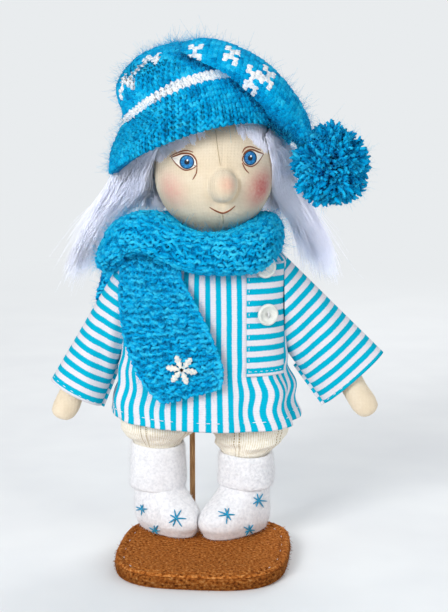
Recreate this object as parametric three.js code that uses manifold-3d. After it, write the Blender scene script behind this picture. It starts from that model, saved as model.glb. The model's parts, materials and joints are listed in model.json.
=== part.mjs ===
// A cloth doll in winter clothes on a felt-covered stand.
// Millimetres, +Z up. The doll faces -Y, so its own left side is at +X.
import * as THREE from 'three';
import { mergeVertices } from 'three/addons/utils/BufferGeometryUtils.js';
import Module from 'manifold-3d';

const wasm = await Module();
wasm.setup();

const DEGREE = Math.PI / 180;

// Clearance between neighbouring pieces
const GAP = 0.3;

// Stand
const BASE_WIDTH = 89;
const BASE_DEPTH = 95;
const BASE_TURN = -6 * DEGREE;
const BASE_ROUNDING = 3.2;
const BOARD_THICKNESS = 4.5;
const FELT_THICKNESS = 1.2;
const DOLL_FROM_BACK_EDGE = 18;
const DOWEL_DIAMETER = 3;
const DOWEL_X = -6.9;
const DOWEL_Y = 12;
const DOWEL_SOCKET_DEPTH = 30;
const DOWEL_PLAY = 0.2;

// Legs, boots and trousers
const LEG_LENGTH = 62.5;
const LEG_RADIUS = 10.3;
const LEG_INSERT = 31;
const LEFT_LEG_X = 22.3;
const LEFT_LEG_Y = -3;
const LEFT_TOE_IN = -47 * DEGREE;
const RIGHT_LEG_X = -25.5;
const RIGHT_LEG_Y = 2;
const RIGHT_TOE_IN = 41 * DEGREE;
const SOLE_THICKNESS = 1.8;
const BOOT_HEIGHT = 42.5;
const BOOT_TOE_REACH = 33;
const BOOT_HEEL_REACH = 15;
const BOOT_HALF_WIDTH = 13.8;
const BOOT_SHAFT_RADIUS = 12.6;
const CUFF_HEIGHT = 21;
const CUFF_RADIUS = 15.4;
const TROUSER_LEG_HALF_WIDTH = 20.6;
const TROUSER_LEG_HALF_DEPTH = 18.6;
const TROUSER_SPREAD = 24.7;
const TROUSER_PUFF_HEIGHT = 14;
const TROUSER_SEAT_HEIGHT = 26;
const TROUSER_WAIST_WALL = 2.4;

// Torso and neck
const TORSO_LENGTH = 101.5;
const TORSO_HALF_WIDTH = 35;
const TORSO_HALF_DEPTH = 21.5;
const NECK_RADIUS = 11;
const NECK_LENGTH = 9;

// Shirt
const CLOTH = 1.2;
const SHIRT_LENGTH = 99;
const SHIRT_HALF_WIDTH = 44;
const SHIRT_HALF_DEPTH = 26;
const SHIRT_HEM_FLARE = 4.6;
const SHIRT_HEM_DEPTH_FLARE = 2.4;
const SHIRT_FOLD_DEPTH = 1.1;
const SHIRT_FOLDS = 8;
const SHIRT_SIDES = 24;
const SHIRT_ROUNDING = 3;
const COLLAR_BELOW_NECK_TOP = 4.5;

// Arms and sleeves
const SHOULDER_DROP = 30;
const ARMHOLE_ABOVE = 21.5;
const ARMHOLE_BELOW = 28;
const ARMHOLE_HALF_DEPTH = 15;
const ARM_SWING_ROOM = 6.5;
const SLEEVE_LENGTH = 56.8;
const LEFT_SLEEVE_LEAN = 42 * DEGREE;
const LEFT_CUFF_HALF_WIDTH = 21;
const LEFT_CUFF_HALF_DEPTH = 8.4;
const RIGHT_SLEEVE_LEAN = 28 * DEGREE;
const RIGHT_CUFF_HALF_WIDTH = 15.2;
const RIGHT_CUFF_HALF_DEPTH = 12;
const ARM_LENGTH = 79;
const LEFT_ARM_LEAN = 33 * DEGREE;
const RIGHT_ARM_LEAN = 23.5 * DEGREE;
const ARM_RADIUS = 9;
const ARM_THICKNESS = 0.78;

// Chest panel and buttons
const PLACKET_FROM_SIDE = 2.1;
const PLACKET_WIDTH = 19.6;
const PLACKET_TOP_BELOW_COLLAR = 10.5;
const PLACKET_LENGTH = 58.5;
const BUTTON_DIAMETER = 11.5;
const BUTTON_THICKNESS = 2.2;
const BUTTON_HOLE_RADIUS = 0.8;
const BUTTON_HOLE_SPACING = 3;
const UPPER_BUTTON_DROP = 1.5;
const LOWER_BUTTON_DROP = 24.5;

// Scarf
const SCARF_CENTRE_X = -3;
const SCARF_CENTRE_Y = -4;
const SCARF_HALF_WIDTH = 38;
const SCARF_HALF_DEPTH = 25;
const SCARF_HALF_HEIGHT = 11;
const SCARF_HALF_THICKNESS = 8;
const SCARF_SINK = 0.5;
const SCARF_TILT_HEIGHT = 1.2;
const SCARF_END_THICKNESS = 5;
const SCARF_END_LIFT_ROOM = 4.2;
const SCARF_END_WIDTH = 37;
const SCARF_FRONT_LENGTH = 57;
const SCARF_FRONT_TOP_X = -27.5;
const SCARF_FRONT_SWAY = 23;
const SCARF_FRONT_TWIST = 30 * DEGREE;
const SCARF_BACK_LENGTH = 52;
const SCARF_BACK_TOP_X = -37;
const SCARF_BACK_SWAY = -4;
const SNOWFLAKE_RADIUS = 8.2;
const SNOWFLAKE_THICKNESS = 1.4;
const SNOWFLAKE_ABOVE_END = 13;

// Head and hair
const HEAD_X = 5.3;
const HEAD_TURN = 8.5 * DEGREE;
const HEAD_HEIGHT = 69;
const HEAD_HALF_WIDTH = 32;
const HEAD_HALF_DEPTH = 33.5;
const NOSE_LEVEL = 26.5;
const NOSE_HALF_WIDTH = 7.4;
const NOSE_HALF_HEIGHT = 9;
const NOSE_REACH = 9.5;
const WIG_HEIGHT = 74;
const HAIR_REACH = 75;
const LOCK_HALF_WIDTH = 12.5;
const LOCK_THICKNESS = 9;
const BACK_HAIR_LENGTH = 34;

// Hat
const HAT_X = -2.6;
const HAT_HEIGHT = 96;
const HAT_HALF_WIDTH = 46;
const HAT_HALF_DEPTH = 41.5;
const HAT_WALL = 4;
const BRIM_HEIGHT = 39.75;
const BRIM_SIDE_HEIGHT = 8.4;
const BRIM_FRONT_HEIGHT = 13;
const BRIM_WAVE_HEIGHT = 2.7;
const TAIL_HALF_THICKNESS = 9.5;
const TAIL_HALF_BREADTH = 27;
const POMPOM_RADIUS = 21;
const POMPOM_HEIGHT_FACTOR = 1.08;

// Place of the doll on the stand, and its levels above the top of the stand
const DOLL_SETBACK = BASE_DEPTH / 2 - DOLL_FROM_BACK_EDGE;
const BASE_TOP = 2 * FELT_THICKNESS + BOARD_THICKNESS + 2 * GAP;
const SOLE_TOP = GAP + SOLE_THICKNESS;
const NECK_TOP = LEG_LENGTH + TORSO_LENGTH;
const COLLAR_LEVEL = NECK_TOP - COLLAR_BELOW_NECK_TOP;
const HEM_LEVEL = COLLAR_LEVEL - SHIRT_LENGTH;
const SHOULDER_LEVEL = COLLAR_LEVEL - SHOULDER_DROP;
const HEAD_BOTTOM = NECK_TOP + GAP;
const HAT_TOP = HEAD_BOTTOM + HAT_HEIGHT;

// Solids
function toSolid(geometry) {
  const bare = geometry.clone();
  bare.deleteAttribute('normal');
  bare.deleteAttribute('uv');
  const merged = mergeVertices(bare);
  const vertProperties = new Float32Array(merged.attributes.position.array);
  const triVerts = new Uint32Array(merged.index.array);
  return new wasm.Manifold(new wasm.Mesh({ numProp: 3, vertProperties, triVerts }));
}

function toGeometry(solid) {
  const { vertProperties, triVerts, numProp } = solid.getMesh();
  const geometry = new THREE.BufferGeometry();
  const positions = new Float32Array(triVerts.length * 3);
  triVerts.forEach((vertex, corner) => {
    for (let axis = 0; axis < 3; axis += 1) {
      positions[corner * 3 + axis] = vertProperties[vertex * numProp + axis];
    }
  });
  geometry.setAttribute('position', new THREE.BufferAttribute(positions, 3));
  geometry.computeVertexNormals();
  return geometry;
}

function cut(solid, ...tools) {
  return tools.reduce((rest, tool) => rest.subtract(tool), solid);
}

// A closed skin over a list of rings, with a fan over each end
function loft(rings) {
  const sides = rings[0].length;
  const last = rings.length - 1;
  const points = rings.flat();
  const middle = (ring) => ring.reduce((sum, p) => sum.add(p), new THREE.Vector3()).divideScalar(sides);
  points.push(middle(rings[0]), middle(rings[last]));
  const index = [];
  for (let side = 0; side < sides; side += 1) {
    const next = (side + 1) % sides;
    index.push(points.length - 2, next, side);
    index.push(points.length - 1, last * sides + side, last * sides + next);
    for (let row = 0; row < last; row += 1) {
      const low = row * sides;
      const high = low + sides;
      index.push(low + side, low + next, high + next, low + side, high + next, high + side);
    }
  }
  return new THREE.BufferGeometry().setFromPoints(points).setIndex(index);
}

// Distance of a superellipse from its centre along each direction, for a power of 2 or more
function superellipse(angle, power) {
  const shape = (value) => Math.sign(value) * Math.abs(value) ** (2 / power);
  return [shape(Math.cos(angle)), shape(Math.sin(angle))];
}

// A ring in a level plane
function levelRing(level, centreX, centreY, halfWidth, halfDepth, sides, power = 2) {
  return Array.from({ length: sides }, (_, side) => {
    const [across, deep] = superellipse((side / sides) * 2 * Math.PI, power);
    return new THREE.Vector3(centreX + across * halfWidth, centreY + deep * halfDepth, level);
  });
}

// A ring that spans two points of an upright plane through X and Z, with a depth along Y
function spanRing(first, second, centreY, halfDepth, sides, power = 2) {
  const centre = first.clone().add(second).multiplyScalar(0.5);
  const half = second.clone().sub(first).multiplyScalar(0.5);
  return Array.from({ length: sides }, (_, side) => {
    const [out, deep] = superellipse((side / sides) * 2 * Math.PI, power);
    const across = centre.clone().addScaledVector(half, out);
    return new THREE.Vector3(across.x, centreY + halfDepth * deep, across.y);
  });
}

// Values between the rows of a short list, eased through them as a smooth curve
function smoothRows(rows, steps) {
  const lastRow = rows.length - 1;
  return Array.from({ length: steps + 1 }, (_, step) => {
    const place = (step / steps) * lastRow;
    const start = Math.min(Math.floor(place), lastRow - 1);
    const t = place - start;
    return rows[0].map((_, column) => {
      const at = (row) => rows[THREE.MathUtils.clamp(row, 0, lastRow)][column];
      const [before, from, to, after] = [at(start - 1), at(start), at(start + 1), at(start + 2)];
      const slopeFrom = (to - before) / 2;
      const slopeTo = (after - from) / 2;
      const rise = to - from;
      return from + t * (slopeFrom + t * (3 * rise - 2 * slopeFrom - slopeTo
        + t * (slopeFrom + slopeTo - 2 * rise)));
    });
  });
}

// A smooth limb along points of an upright plane: each row holds x, z, half width, half depth and y
function limb(rows, steps, sides, power = 2) {
  const stations = smoothRows(rows, steps);
  const rings = stations.map(([x, z, halfWidth, halfDepth, y], step) => {
    const before = stations[Math.max(step - 1, 0)];
    const after = stations[Math.min(step + 1, steps)];
    const along = new THREE.Vector2(after[0] - before[0], after[1] - before[1]).normalize();
    const side = new THREE.Vector2(along.y, -along.x).multiplyScalar(halfWidth);
    const centre = new THREE.Vector2(x, z);
    return spanRing(centre.clone().sub(side), centre.clone().add(side), y, halfDepth, sides, power);
  });
  return toSolid(loft(rings));
}

function pillar(x, y, radius, bottom, top, sides = 20) {
  return toSolid(loft([bottom, top].map((level) => levelRing(level, x, y, radius, radius, sides))));
}

// Stand pieces
function baseOutline(inset) {
  const shape = new THREE.Shape();
  const ring = levelRing(0, 0, 0, BASE_WIDTH / 2 - inset, BASE_DEPTH / 2 - inset, 36, BASE_ROUNDING);
  shape.setFromPoints(ring.map((point) => new THREE.Vector2(point.x, point.y)));
  return shape;
}

function plate(inset, bottom, thickness) {
  const geometry = new THREE.ExtrudeGeometry(baseOutline(inset), { depth: thickness, bevelEnabled: false });
  return toSolid(geometry.rotateZ(BASE_TURN).translate(0, 0, bottom));
}

const boardBottom = FELT_THICKNESS + GAP;
const boardTop = boardBottom + BOARD_THICKNESS;
const dowelHole = pillar(DOWEL_X, DOWEL_Y + DOLL_SETBACK, DOWEL_DIAMETER / 2 + DOWEL_PLAY, boardBottom - 1,
  BASE_TOP + 1, 16);

function standPieces() {
  const sideInset = FELT_THICKNESS + GAP;
  const sideFelt = cut(plate(0, boardBottom, BOARD_THICKNESS), plate(FELT_THICKNESS, 0, BASE_TOP));
  return {
    base_bottom_felt: plate(0, 0, FELT_THICKNESS),
    base_board: cut(plate(sideInset, boardBottom, BOARD_THICKNESS), dowelHole),
    base_side_felt: sideFelt,
    base_top_felt: cut(plate(0, boardTop + GAP, FELT_THICKNESS), dowelHole),
  };
}

// Torso, with its neck and the socket of the dowel
function torsoForm(grow) {
  const bodyLength = TORSO_LENGTH - NECK_LENGTH;
  const rows = [
    [0, 0.7, 0.7],
    [0.05, 0.94, 0.92],
    [0.24, 1, 1],
    [0.48, 0.92, 0.9],
    [0.72, 0.86, 0.8],
    [0.88, 0.66, 0.66],
  ].map(([height, width, depth]) => [
    height * bodyLength,
    width * TORSO_HALF_WIDTH,
    depth * TORSO_HALF_DEPTH,
  ]);
  rows.push([bodyLength, NECK_RADIUS, NECK_RADIUS]);
  const neck = [TORSO_LENGTH, NECK_RADIUS, NECK_RADIUS];
  const stations = [...smoothRows(rows, 7), neck];
  const lastStation = stations.length - 1;
  return toSolid(loft(stations.map(([height, halfWidth, halfDepth], station) => {
    const endward = station === 0 ? -grow : station === lastStation ? grow : 0;
    return levelRing(LEG_LENGTH + height + endward, 0, 0, halfWidth + grow, halfDepth + grow, 14);
  })));
}

const dowelTop = LEG_LENGTH + DOWEL_SOCKET_DEPTH;

function dowel(radius, bottom, top) {
  return pillar(DOWEL_X, DOWEL_Y, radius, bottom, top, 16);
}

const dowelSocket = dowel(DOWEL_DIAMETER / 2 + DOWEL_PLAY, 0, dowelTop + GAP);
const torso = cut(torsoForm(0), dowelSocket);

// One leg with its boot, sole and cuff, made about the leg's own axis with the toe towards -Y
function leg(grow) {
  const bottom = BOOT_HEIGHT - LEG_INSERT;
  const top = LEG_LENGTH - GAP;
  const rows = [
    [bottom - grow, LEG_RADIUS * 0.8],
    [bottom + LEG_RADIUS * 0.4, LEG_RADIUS],
    [(bottom + top) / 2, LEG_RADIUS],
    [top + grow, LEG_RADIUS],
  ];
  return toSolid(loft(rows.map(([level, radius]) => (
    levelRing(level, 0, 0, radius + grow, radius + grow, 12)))));
}

function bootForm(grow) {
  const shaft = BOOT_SHAFT_RADIUS;
  const rows = [
    [SOLE_TOP + GAP - grow, BOOT_TOE_REACH * 0.86, BOOT_HEEL_REACH * 0.84, BOOT_HALF_WIDTH * 0.8],
    [BOOT_HEIGHT * 0.15, BOOT_TOE_REACH * 0.985, BOOT_HEEL_REACH, BOOT_HALF_WIDTH],
    [BOOT_HEIGHT * 0.28, BOOT_TOE_REACH * 0.95, BOOT_HEEL_REACH, BOOT_HALF_WIDTH],
    [BOOT_HEIGHT * 0.4, BOOT_TOE_REACH * 0.76, BOOT_HEEL_REACH * 0.96, BOOT_HALF_WIDTH * 0.98],
    [BOOT_HEIGHT * 0.52, BOOT_TOE_REACH * 0.53, (BOOT_HEEL_REACH + shaft) / 2, (BOOT_HALF_WIDTH + shaft) / 2],
    [BOOT_HEIGHT * 0.66, shaft * 1.05, shaft, shaft],
    [BOOT_HEIGHT + grow, shaft, shaft, shaft],
  ];
  return toSolid(loft(smoothRows(rows, 7).map(([level, toe, heel, halfWidth]) => {
    const halfDepth = (toe + heel) / 2 + grow;
    return levelRing(level, 0, (heel - toe) / 2, halfWidth + grow, halfDepth, 12, 2.2);
  })));
}

function bootSole() {
  const toe = BOOT_TOE_REACH * 0.88;
  const heel = BOOT_HEEL_REACH * 0.88;
  const rings = [GAP, SOLE_TOP].map((level) => (
    levelRing(level, 0, (heel - toe) / 2, BOOT_HALF_WIDTH * 0.82, (toe + heel) / 2, 14, 2.2)));
  return toSolid(loft(rings));
}

function cuffForm() {
  const bottom = BOOT_HEIGHT - CUFF_HEIGHT;
  const rows = [
    [bottom, CUFF_RADIUS * 0.93],
    [bottom + CUFF_HEIGHT * 0.3, CUFF_RADIUS],
    [bottom + CUFF_HEIGHT * 0.75, CUFF_RADIUS],
    [BOOT_HEIGHT, CUFF_RADIUS * 0.95],
  ];
  return toSolid(loft(rows.map(([level, radius]) => levelRing(level, 0, 0, radius, radius, 12))));
}

function placeLeg(solid, x, y, toeIn) {
  return solid.rotate([0, 0, toeIn / DEGREE]).translate([x, y, 0]);
}

function legPieces(side, x, y, toeIn) {
  const boot = cut(bootForm(0), leg(GAP));
  const cuff = cut(cuffForm(), bootForm(GAP));
  return {
    [`${side}_leg`]: placeLeg(leg(0), x, y, toeIn),
    [`${side}_boot`]: placeLeg(boot, x, y, toeIn),
    [`${side}_boot_sole`]: placeLeg(bootSole(), x, y, toeIn),
    [`${side}_boot_cuff`]: placeLeg(cuff, x, y, toeIn),
  };
}

// Trousers: two puffed legs gathered above the boots, joined at the seat
const trouserHem = BOOT_HEIGHT + GAP;
const seatTop = LEG_LENGTH + TROUSER_SEAT_HEIGHT;

function trouserLeg(x) {
  const gather = CUFF_RADIUS * 0.88;
  const rows = [
    [trouserHem, gather, gather],
    [trouserHem + TROUSER_PUFF_HEIGHT * 0.18, TROUSER_LEG_HALF_WIDTH * 0.9, TROUSER_LEG_HALF_DEPTH * 0.9],
    [trouserHem + TROUSER_PUFF_HEIGHT * 0.5, TROUSER_LEG_HALF_WIDTH, TROUSER_LEG_HALF_DEPTH],
    [trouserHem + TROUSER_PUFF_HEIGHT, TROUSER_LEG_HALF_WIDTH, TROUSER_LEG_HALF_DEPTH],
    [LEG_LENGTH + TROUSER_SEAT_HEIGHT * 0.31, TROUSER_LEG_HALF_WIDTH * 0.86, TROUSER_LEG_HALF_DEPTH],
  ];
  const rings = smoothRows(rows, 5).map(([level, halfWidth, halfDepth]) => (
    levelRing(level, x, 0, halfWidth, halfDepth, 12)));
  return toSolid(loft(rings));
}

function trousers() {
  const wall = TROUSER_WAIST_WALL + GAP;
  const rows = [
    [LEG_LENGTH - TROUSER_SEAT_HEIGHT * 0.15, TORSO_HALF_WIDTH * 0.8, TORSO_HALF_DEPTH * 0.8],
    [LEG_LENGTH + TROUSER_SEAT_HEIGHT * 0.2, TORSO_HALF_WIDTH + wall, TORSO_HALF_DEPTH + wall],
    [seatTop, TORSO_HALF_WIDTH + wall, TORSO_HALF_DEPTH + wall],
  ];
  const seat = toSolid(loft(rows.map(([level, halfWidth, halfDepth]) => (
    levelRing(level, 0, 0, halfWidth, halfDepth, 14)))));
  const dowelWay = dowel(DOWEL_DIAMETER / 2 + GAP, 0, dowelTop);
  return cut(
    seat.add(trouserLeg(TROUSER_SPREAD)).add(trouserLeg(-TROUSER_SPREAD)),
    torsoForm(GAP),
    placeLeg(leg(GAP), LEFT_LEG_X, LEFT_LEG_Y, LEFT_TOE_IN),
    placeLeg(leg(GAP), RIGHT_LEG_X, RIGHT_LEG_Y, RIGHT_TOE_IN),
    dowelWay,
  );
}

// Shirt form: flat front and back, straight sides for the armholes, folds that deepen to the hem
function shirtForm(grow, below = 0) {
  const hemWidth = SHIRT_HALF_WIDTH + SHIRT_HEM_FLARE;
  const hemDepth = SHIRT_HALF_DEPTH + SHIRT_HEM_DEPTH_FLARE;
  const collar = NECK_RADIUS + GAP + CLOTH;
  const rows = [
    [0, hemWidth, hemDepth, 1],
    [0.19, SHIRT_HALF_WIDTH + SHIRT_HEM_FLARE * 0.5, hemDepth - SHIRT_HEM_DEPTH_FLARE * 0.4, 0.7],
    [0.4, SHIRT_HALF_WIDTH, SHIRT_HALF_DEPTH + SHIRT_HEM_DEPTH_FLARE * 0.4, 0],
    [0.62, SHIRT_HALF_WIDTH, SHIRT_HALF_DEPTH, 0],
    [0.84, SHIRT_HALF_WIDTH, SHIRT_HALF_DEPTH * 0.86, 0],
    [0.91, SHIRT_HALF_WIDTH * 0.98, SHIRT_HALF_DEPTH * 0.7, 0],
    [0.95, SHIRT_HALF_WIDTH * 0.8, SHIRT_HALF_DEPTH * 0.58, 0],
    [0.985, collar * 1.35, collar * 1.05, 0],
    [1, collar, collar, 0],
  ];
  const rings = rows.map(([height, halfWidth, halfDepth, fold], row) => {
    const lift = row === 0 ? -below : grow * Math.max(0, (height - 0.84) / 0.16);
    const level = HEM_LEVEL + height * SHIRT_LENGTH + lift;
    const power = height < 0.93 ? SHIRT_ROUNDING : 2;
    const ring = levelRing(level, 0, 0, halfWidth + grow, halfDepth + grow, SHIRT_SIDES, power);
    ring.forEach((point, side) => {
      const phase = (side / SHIRT_SIDES) * 2 * Math.PI * SHIRT_FOLDS;
      const wave = 1 + (SHIRT_FOLD_DEPTH * fold / halfWidth) * Math.cos(phase);
      point.x *= wave;
      point.y *= wave;
    });
    return ring;
  });
  const topLevel = COLLAR_LEVEL + grow + Math.abs(below);
  const top = rings[rings.length - 1].map((point) => point.clone().setZ(topLevel));
  return toSolid(loft([...rings, top]));
}

// A round hole for the arm, about the axis that it swings on
function armhole(side) {
  const hole = pillar(0, 0, ARM_RADIUS + ARM_SWING_ROOM, -ARM_RADIUS, ARM_RADIUS, 14).rotate([0, 90, 0]);
  return hole.translate([side * SHIRT_HALF_WIDTH, 0, SHOULDER_LEVEL]);
}

function shirtBody() {
  const neckWay = pillar(0, 0, NECK_RADIUS + GAP, COLLAR_LEVEL - NECK_LENGTH, NECK_TOP, 14);
  return cut(shirtForm(0), shirtForm(-CLOTH, 1), neckWay, armhole(1), armhole(-1));
}

// An upright prism through the doll from front to back, over an outline in X and Z
function prism(points, frontY, backY) {
  const shape = new THREE.Shape(points.map(([x, z]) => new THREE.Vector2(x, z)));
  const geometry = new THREE.ExtrudeGeometry(shape, { depth: backY - frontY, bevelEnabled: false });
  return toSolid(geometry.rotateX(Math.PI / 2).translate(0, backY, 0));
}

function rectangle(left, right, bottom, top) {
  return [[left, bottom], [right, bottom], [right, top], [left, top]];
}

// How far a cutting form runs past the shirt's hem, and the planes between which its front lies
const PAST_HEM = 20;
const BEFORE_FRONT = -3 * SHIRT_HALF_DEPTH;
const BEHIND_FRONT = -0.46 * SHIRT_HALF_DEPTH;

// A layer of even thickness that lies on the front of the shirt, inside an outline
function layerOnShirt(points, inner, thickness) {
  const outline = prism(points, BEFORE_FRONT, BEHIND_FRONT);
  return shirtForm(inner + thickness).intersect(outline).subtract(shirtForm(inner, PAST_HEM));
}

const placketTop = COLLAR_LEVEL - PLACKET_TOP_BELOW_COLLAR;
const placketRight = SHIRT_HALF_WIDTH - PLACKET_FROM_SIDE;
const placketLeft = placketRight - PLACKET_WIDTH;
const placketMiddle = placketRight - PLACKET_WIDTH / 2;
const upperButtonLevel = placketTop - UPPER_BUTTON_DROP;

function placket() {
  const bottom = placketTop - PLACKET_LENGTH;
  return layerOnShirt(rectangle(placketLeft, placketRight, bottom, placketTop), GAP, CLOTH);
}

// A round button with a raised rim and a pair of thread holes, facing +Z
function button() {
  const radius = BUTTON_DIAMETER / 2;
  const profile = [
    [0, 0],
    [radius * 0.9, 0],
    [radius, BUTTON_THICKNESS * 0.4],
    [radius * 0.92, BUTTON_THICKNESS],
    [radius * 0.7, BUTTON_THICKNESS],
    [radius * 0.55, BUTTON_THICKNESS * 0.6],
    [0, BUTTON_THICKNESS * 0.55],
  ].map(([x, y]) => new THREE.Vector2(x, y));
  const disc = toSolid(new THREE.LatheGeometry(profile, 16).rotateX(Math.PI / 2));
  const holes = [-0.5, 0.5].map((side) => (
    pillar(0, side * BUTTON_HOLE_SPACING, BUTTON_HOLE_RADIUS, -1, BUTTON_THICKNESS + 1, 8)));
  return cut(disc, ...holes);
}

// Front surface of the shirt at a place across it, with the slope of the cloth there
function shirtFront(x) {
  const y = (place) => {
    const narrowing = 1 - (place / SHIRT_HALF_WIDTH) ** SHIRT_ROUNDING;
    return -SHIRT_HALF_DEPTH * narrowing ** (1 / SHIRT_ROUNDING);
  };
  const slope = Math.atan2(y(x + 0.5) - y(x - 0.5), 1);
  return { y: y(x), slope };
}

function placedButton(drop, seatedOn) {
  const { y: start, slope } = shirtFront(placketMiddle);
  const upright = button().rotate([90, 0, 0]).rotate([0, 0, slope / DEGREE]);
  const level = upperButtonLevel - drop;
  const at = (distance) => upright.translate([
    placketMiddle + Math.sin(slope) * distance,
    start - Math.cos(slope) * distance,
    level,
  ]);
  let reach = SHIRT_HALF_DEPTH;
  while (reach > -SHIRT_HALF_DEPTH && at(reach).intersect(seatedOn).isEmpty()) {
    reach -= GAP / 2;
  }
  return at(reach + 1.5 * GAP);
}

// Room left in the scarf for the chest panel and for the button that it half covers
function placketClear() {
  const outline = rectangle(placketLeft - GAP, placketRight + GAP, HEM_LEVEL, placketTop + GAP);
  return layerOnShirt(outline, 0, CLOTH + 2 * GAP);
}

function buttonClear() {
  const { y, slope } = shirtFront(placketMiddle);
  const well = pillar(0, 0, BUTTON_DIAMETER / 2 + GAP, -SHIRT_HALF_DEPTH / 2, 3 * SHIRT_HALF_DEPTH, 16);
  const aimed = well.rotate([90, 0, 0]).rotate([0, 0, slope / DEGREE]);
  return aimed.translate([placketMiddle, y, upperButtonLevel]);
}

// Arms and sleeves: side is 1 for the doll's left and -1 for its right
const sleeveX = SHIRT_HALF_WIDTH + GAP;

function arm(side, lean) {
  const start = TORSO_HALF_WIDTH * 0.87 + GAP;
  const hang = new THREE.Vector2(Math.sin(lean), -Math.cos(lean)).multiplyScalar(ARM_LENGTH);
  const place = (along, outward) => [
    side * (sleeveX + hang.x * along + ARM_RADIUS * outward),
    SHOULDER_LEVEL + hang.y * along,
  ];
  const thick = (radius) => [radius, radius * ARM_THICKNESS, 0];
  const rows = [
    [side * start, SHOULDER_LEVEL, ...thick(ARM_RADIUS * 0.9)],
    [side * (start + sleeveX) / 2, SHOULDER_LEVEL, ...thick(ARM_RADIUS)],
    [...place(0.06, 0.24), ...thick(ARM_RADIUS * 0.84)],
    [...place(0.32, 0.35), ...thick(ARM_RADIUS * 0.94)],
    [...place(0.6, 0.33), ...thick(ARM_RADIUS * 0.82)],
    [...place(0.78, 0.11), ...thick(ARM_RADIUS * 0.82)],
    [...place(0.93, 0), ...thick(ARM_RADIUS * 0.86)],
    [...place(0.985, 0), ...thick(ARM_RADIUS * 0.6)],
    [...place(1, 0), ...thick(ARM_RADIUS * 0.2)],
  ];
  return limb(rows, 11, 10);
}

function sleeveForm(side, lean, cuffHalfWidth, cuffHalfDepth, grow, beyond) {
  const upper = new THREE.Vector2(side * sleeveX, SHOULDER_LEVEL + ARMHOLE_ABOVE + grow);
  const lower = new THREE.Vector2(side * sleeveX, SHOULDER_LEVEL - ARMHOLE_BELOW - grow);
  const middle = upper.clone().add(lower).multiplyScalar(0.5);
  const along = new THREE.Vector2(side * Math.sin(lean), -Math.cos(lean));
  const across = new THREE.Vector2(side * Math.cos(lean), Math.sin(lean));
  const cuff = middle.clone().addScaledVector(along, SLEEVE_LENGTH);
  const cuffUpper = cuff.clone().addScaledVector(across, cuffHalfWidth + grow);
  const cuffLower = cuff.clone().addScaledVector(across, -cuffHalfWidth - grow);
  const steps = 4;
  const rings = Array.from({ length: steps + 1 }, (_, step) => {
    const t = step / steps;
    const sag = SHIRT_FOLD_DEPTH * Math.sin(3 * Math.PI * t);
    const high = upper.clone().lerp(cuffUpper, t);
    const low = lower.clone().lerp(cuffLower, t);
    const halfDepth = THREE.MathUtils.lerp(ARMHOLE_HALF_DEPTH, cuffHalfDepth, t) + grow + 0.5 * sag;
    if (step === 0) {
      high.x -= side * beyond;
      low.x -= side * beyond;
    }
    if (step === steps) {
      high.addScaledVector(along, beyond);
      low.addScaledVector(along, beyond);
    }
    return spanRing(high, low, 0, side * halfDepth, 14);
  });
  return toSolid(loft(rings));
}

function sleeve(side, lean, cuffHalfWidth, cuffHalfDepth) {
  const size = [side, lean, cuffHalfWidth, cuffHalfDepth];
  return cut(sleeveForm(...size, 0, 0), sleeveForm(...size, -CLOTH, 1));
}

// Head with its nose, turned a little towards the doll's left
function headForm(grow) {
  const rows = [
    [0, 0.3],
    [0.05, 0.53],
    [0.15, 0.78],
    [0.3, 0.945],
    [0.46, 1],
    [0.62, 0.985],
    [0.77, 0.88],
    [0.89, 0.65],
    [0.965, 0.37],
    [1, 0.08],
  ];
  const rings = rows.map(([height, share]) => {
    const level = HEAD_BOTTOM + height * HEAD_HEIGHT + grow * (2 * height - 1);
    return levelRing(level, 0, 0, share * HEAD_HALF_WIDTH + grow, share * HEAD_HALF_DEPTH + grow, 20);
  });
  const skull = toSolid(loft(rings));
  const nose = toSolid(new THREE.SphereGeometry(1, 10, 8).scale(
    NOSE_HALF_WIDTH + grow, NOSE_REACH + grow, NOSE_HALF_HEIGHT + grow).translate(
    0, -0.93 * HEAD_HALF_DEPTH, HEAD_BOTTOM + NOSE_LEVEL));
  return skull.add(nose).rotate([0, 0, HEAD_TURN / DEGREE]).translate([HEAD_X, 0, 0]);
}

// Height of the hat's brim round the head
function brimLevel(angle) {
  const tilt = BRIM_SIDE_HEIGHT * Math.cos(angle) - BRIM_FRONT_HEIGHT * Math.sin(angle);
  const wave = 0.5 * Math.cos(2 * angle) + Math.sin(2 * angle);
  return HEAD_BOTTOM + BRIM_HEIGHT + tilt - BRIM_WAVE_HEIGHT * wave;
}

// Hat form from the brim to a height, each row: share of the height, then shift, width and depth as shares
function hatForm(grow, height, below) {
  const rows = [
    [0, 0, 1, 1],
    [0.12, 0, 0.995, 1],
    [0.3, -0.01, 0.95, 0.98],
    [0.5, -0.05, 0.88, 0.95],
    [0.68, -0.11, 0.79, 0.86],
    [0.83, -0.13, 0.63, 0.7],
    [0.94, -0.13, 0.4, 0.46],
    [1, -0.13, 0.14, 0.16],
  ];
  const sides = 20;
  const rings = rows.map(([share, shift, width, depth], row) => {
    const centreX = HAT_X + shift * HAT_HALF_WIDTH;
    const halfWidth = width * HAT_HALF_WIDTH + grow;
    const ring = levelRing(0, centreX, 0, halfWidth, depth * HAT_HALF_DEPTH + grow, sides);
    return ring.map((point, side) => {
      const brim = brimLevel((side / sides) * 2 * Math.PI) - (row === 0 ? below : 0);
      return point.setZ(THREE.MathUtils.lerp(brim, HEAD_BOTTOM + height, share));
    });
  });
  return toSolid(loft(rings));
}

const hatInside = hatForm(-HAT_WALL, HAT_HEIGHT - HAT_WALL, 2);

function hatCap() {
  return cut(hatForm(0, HAT_HEIGHT, 0), hatInside);
}

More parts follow.
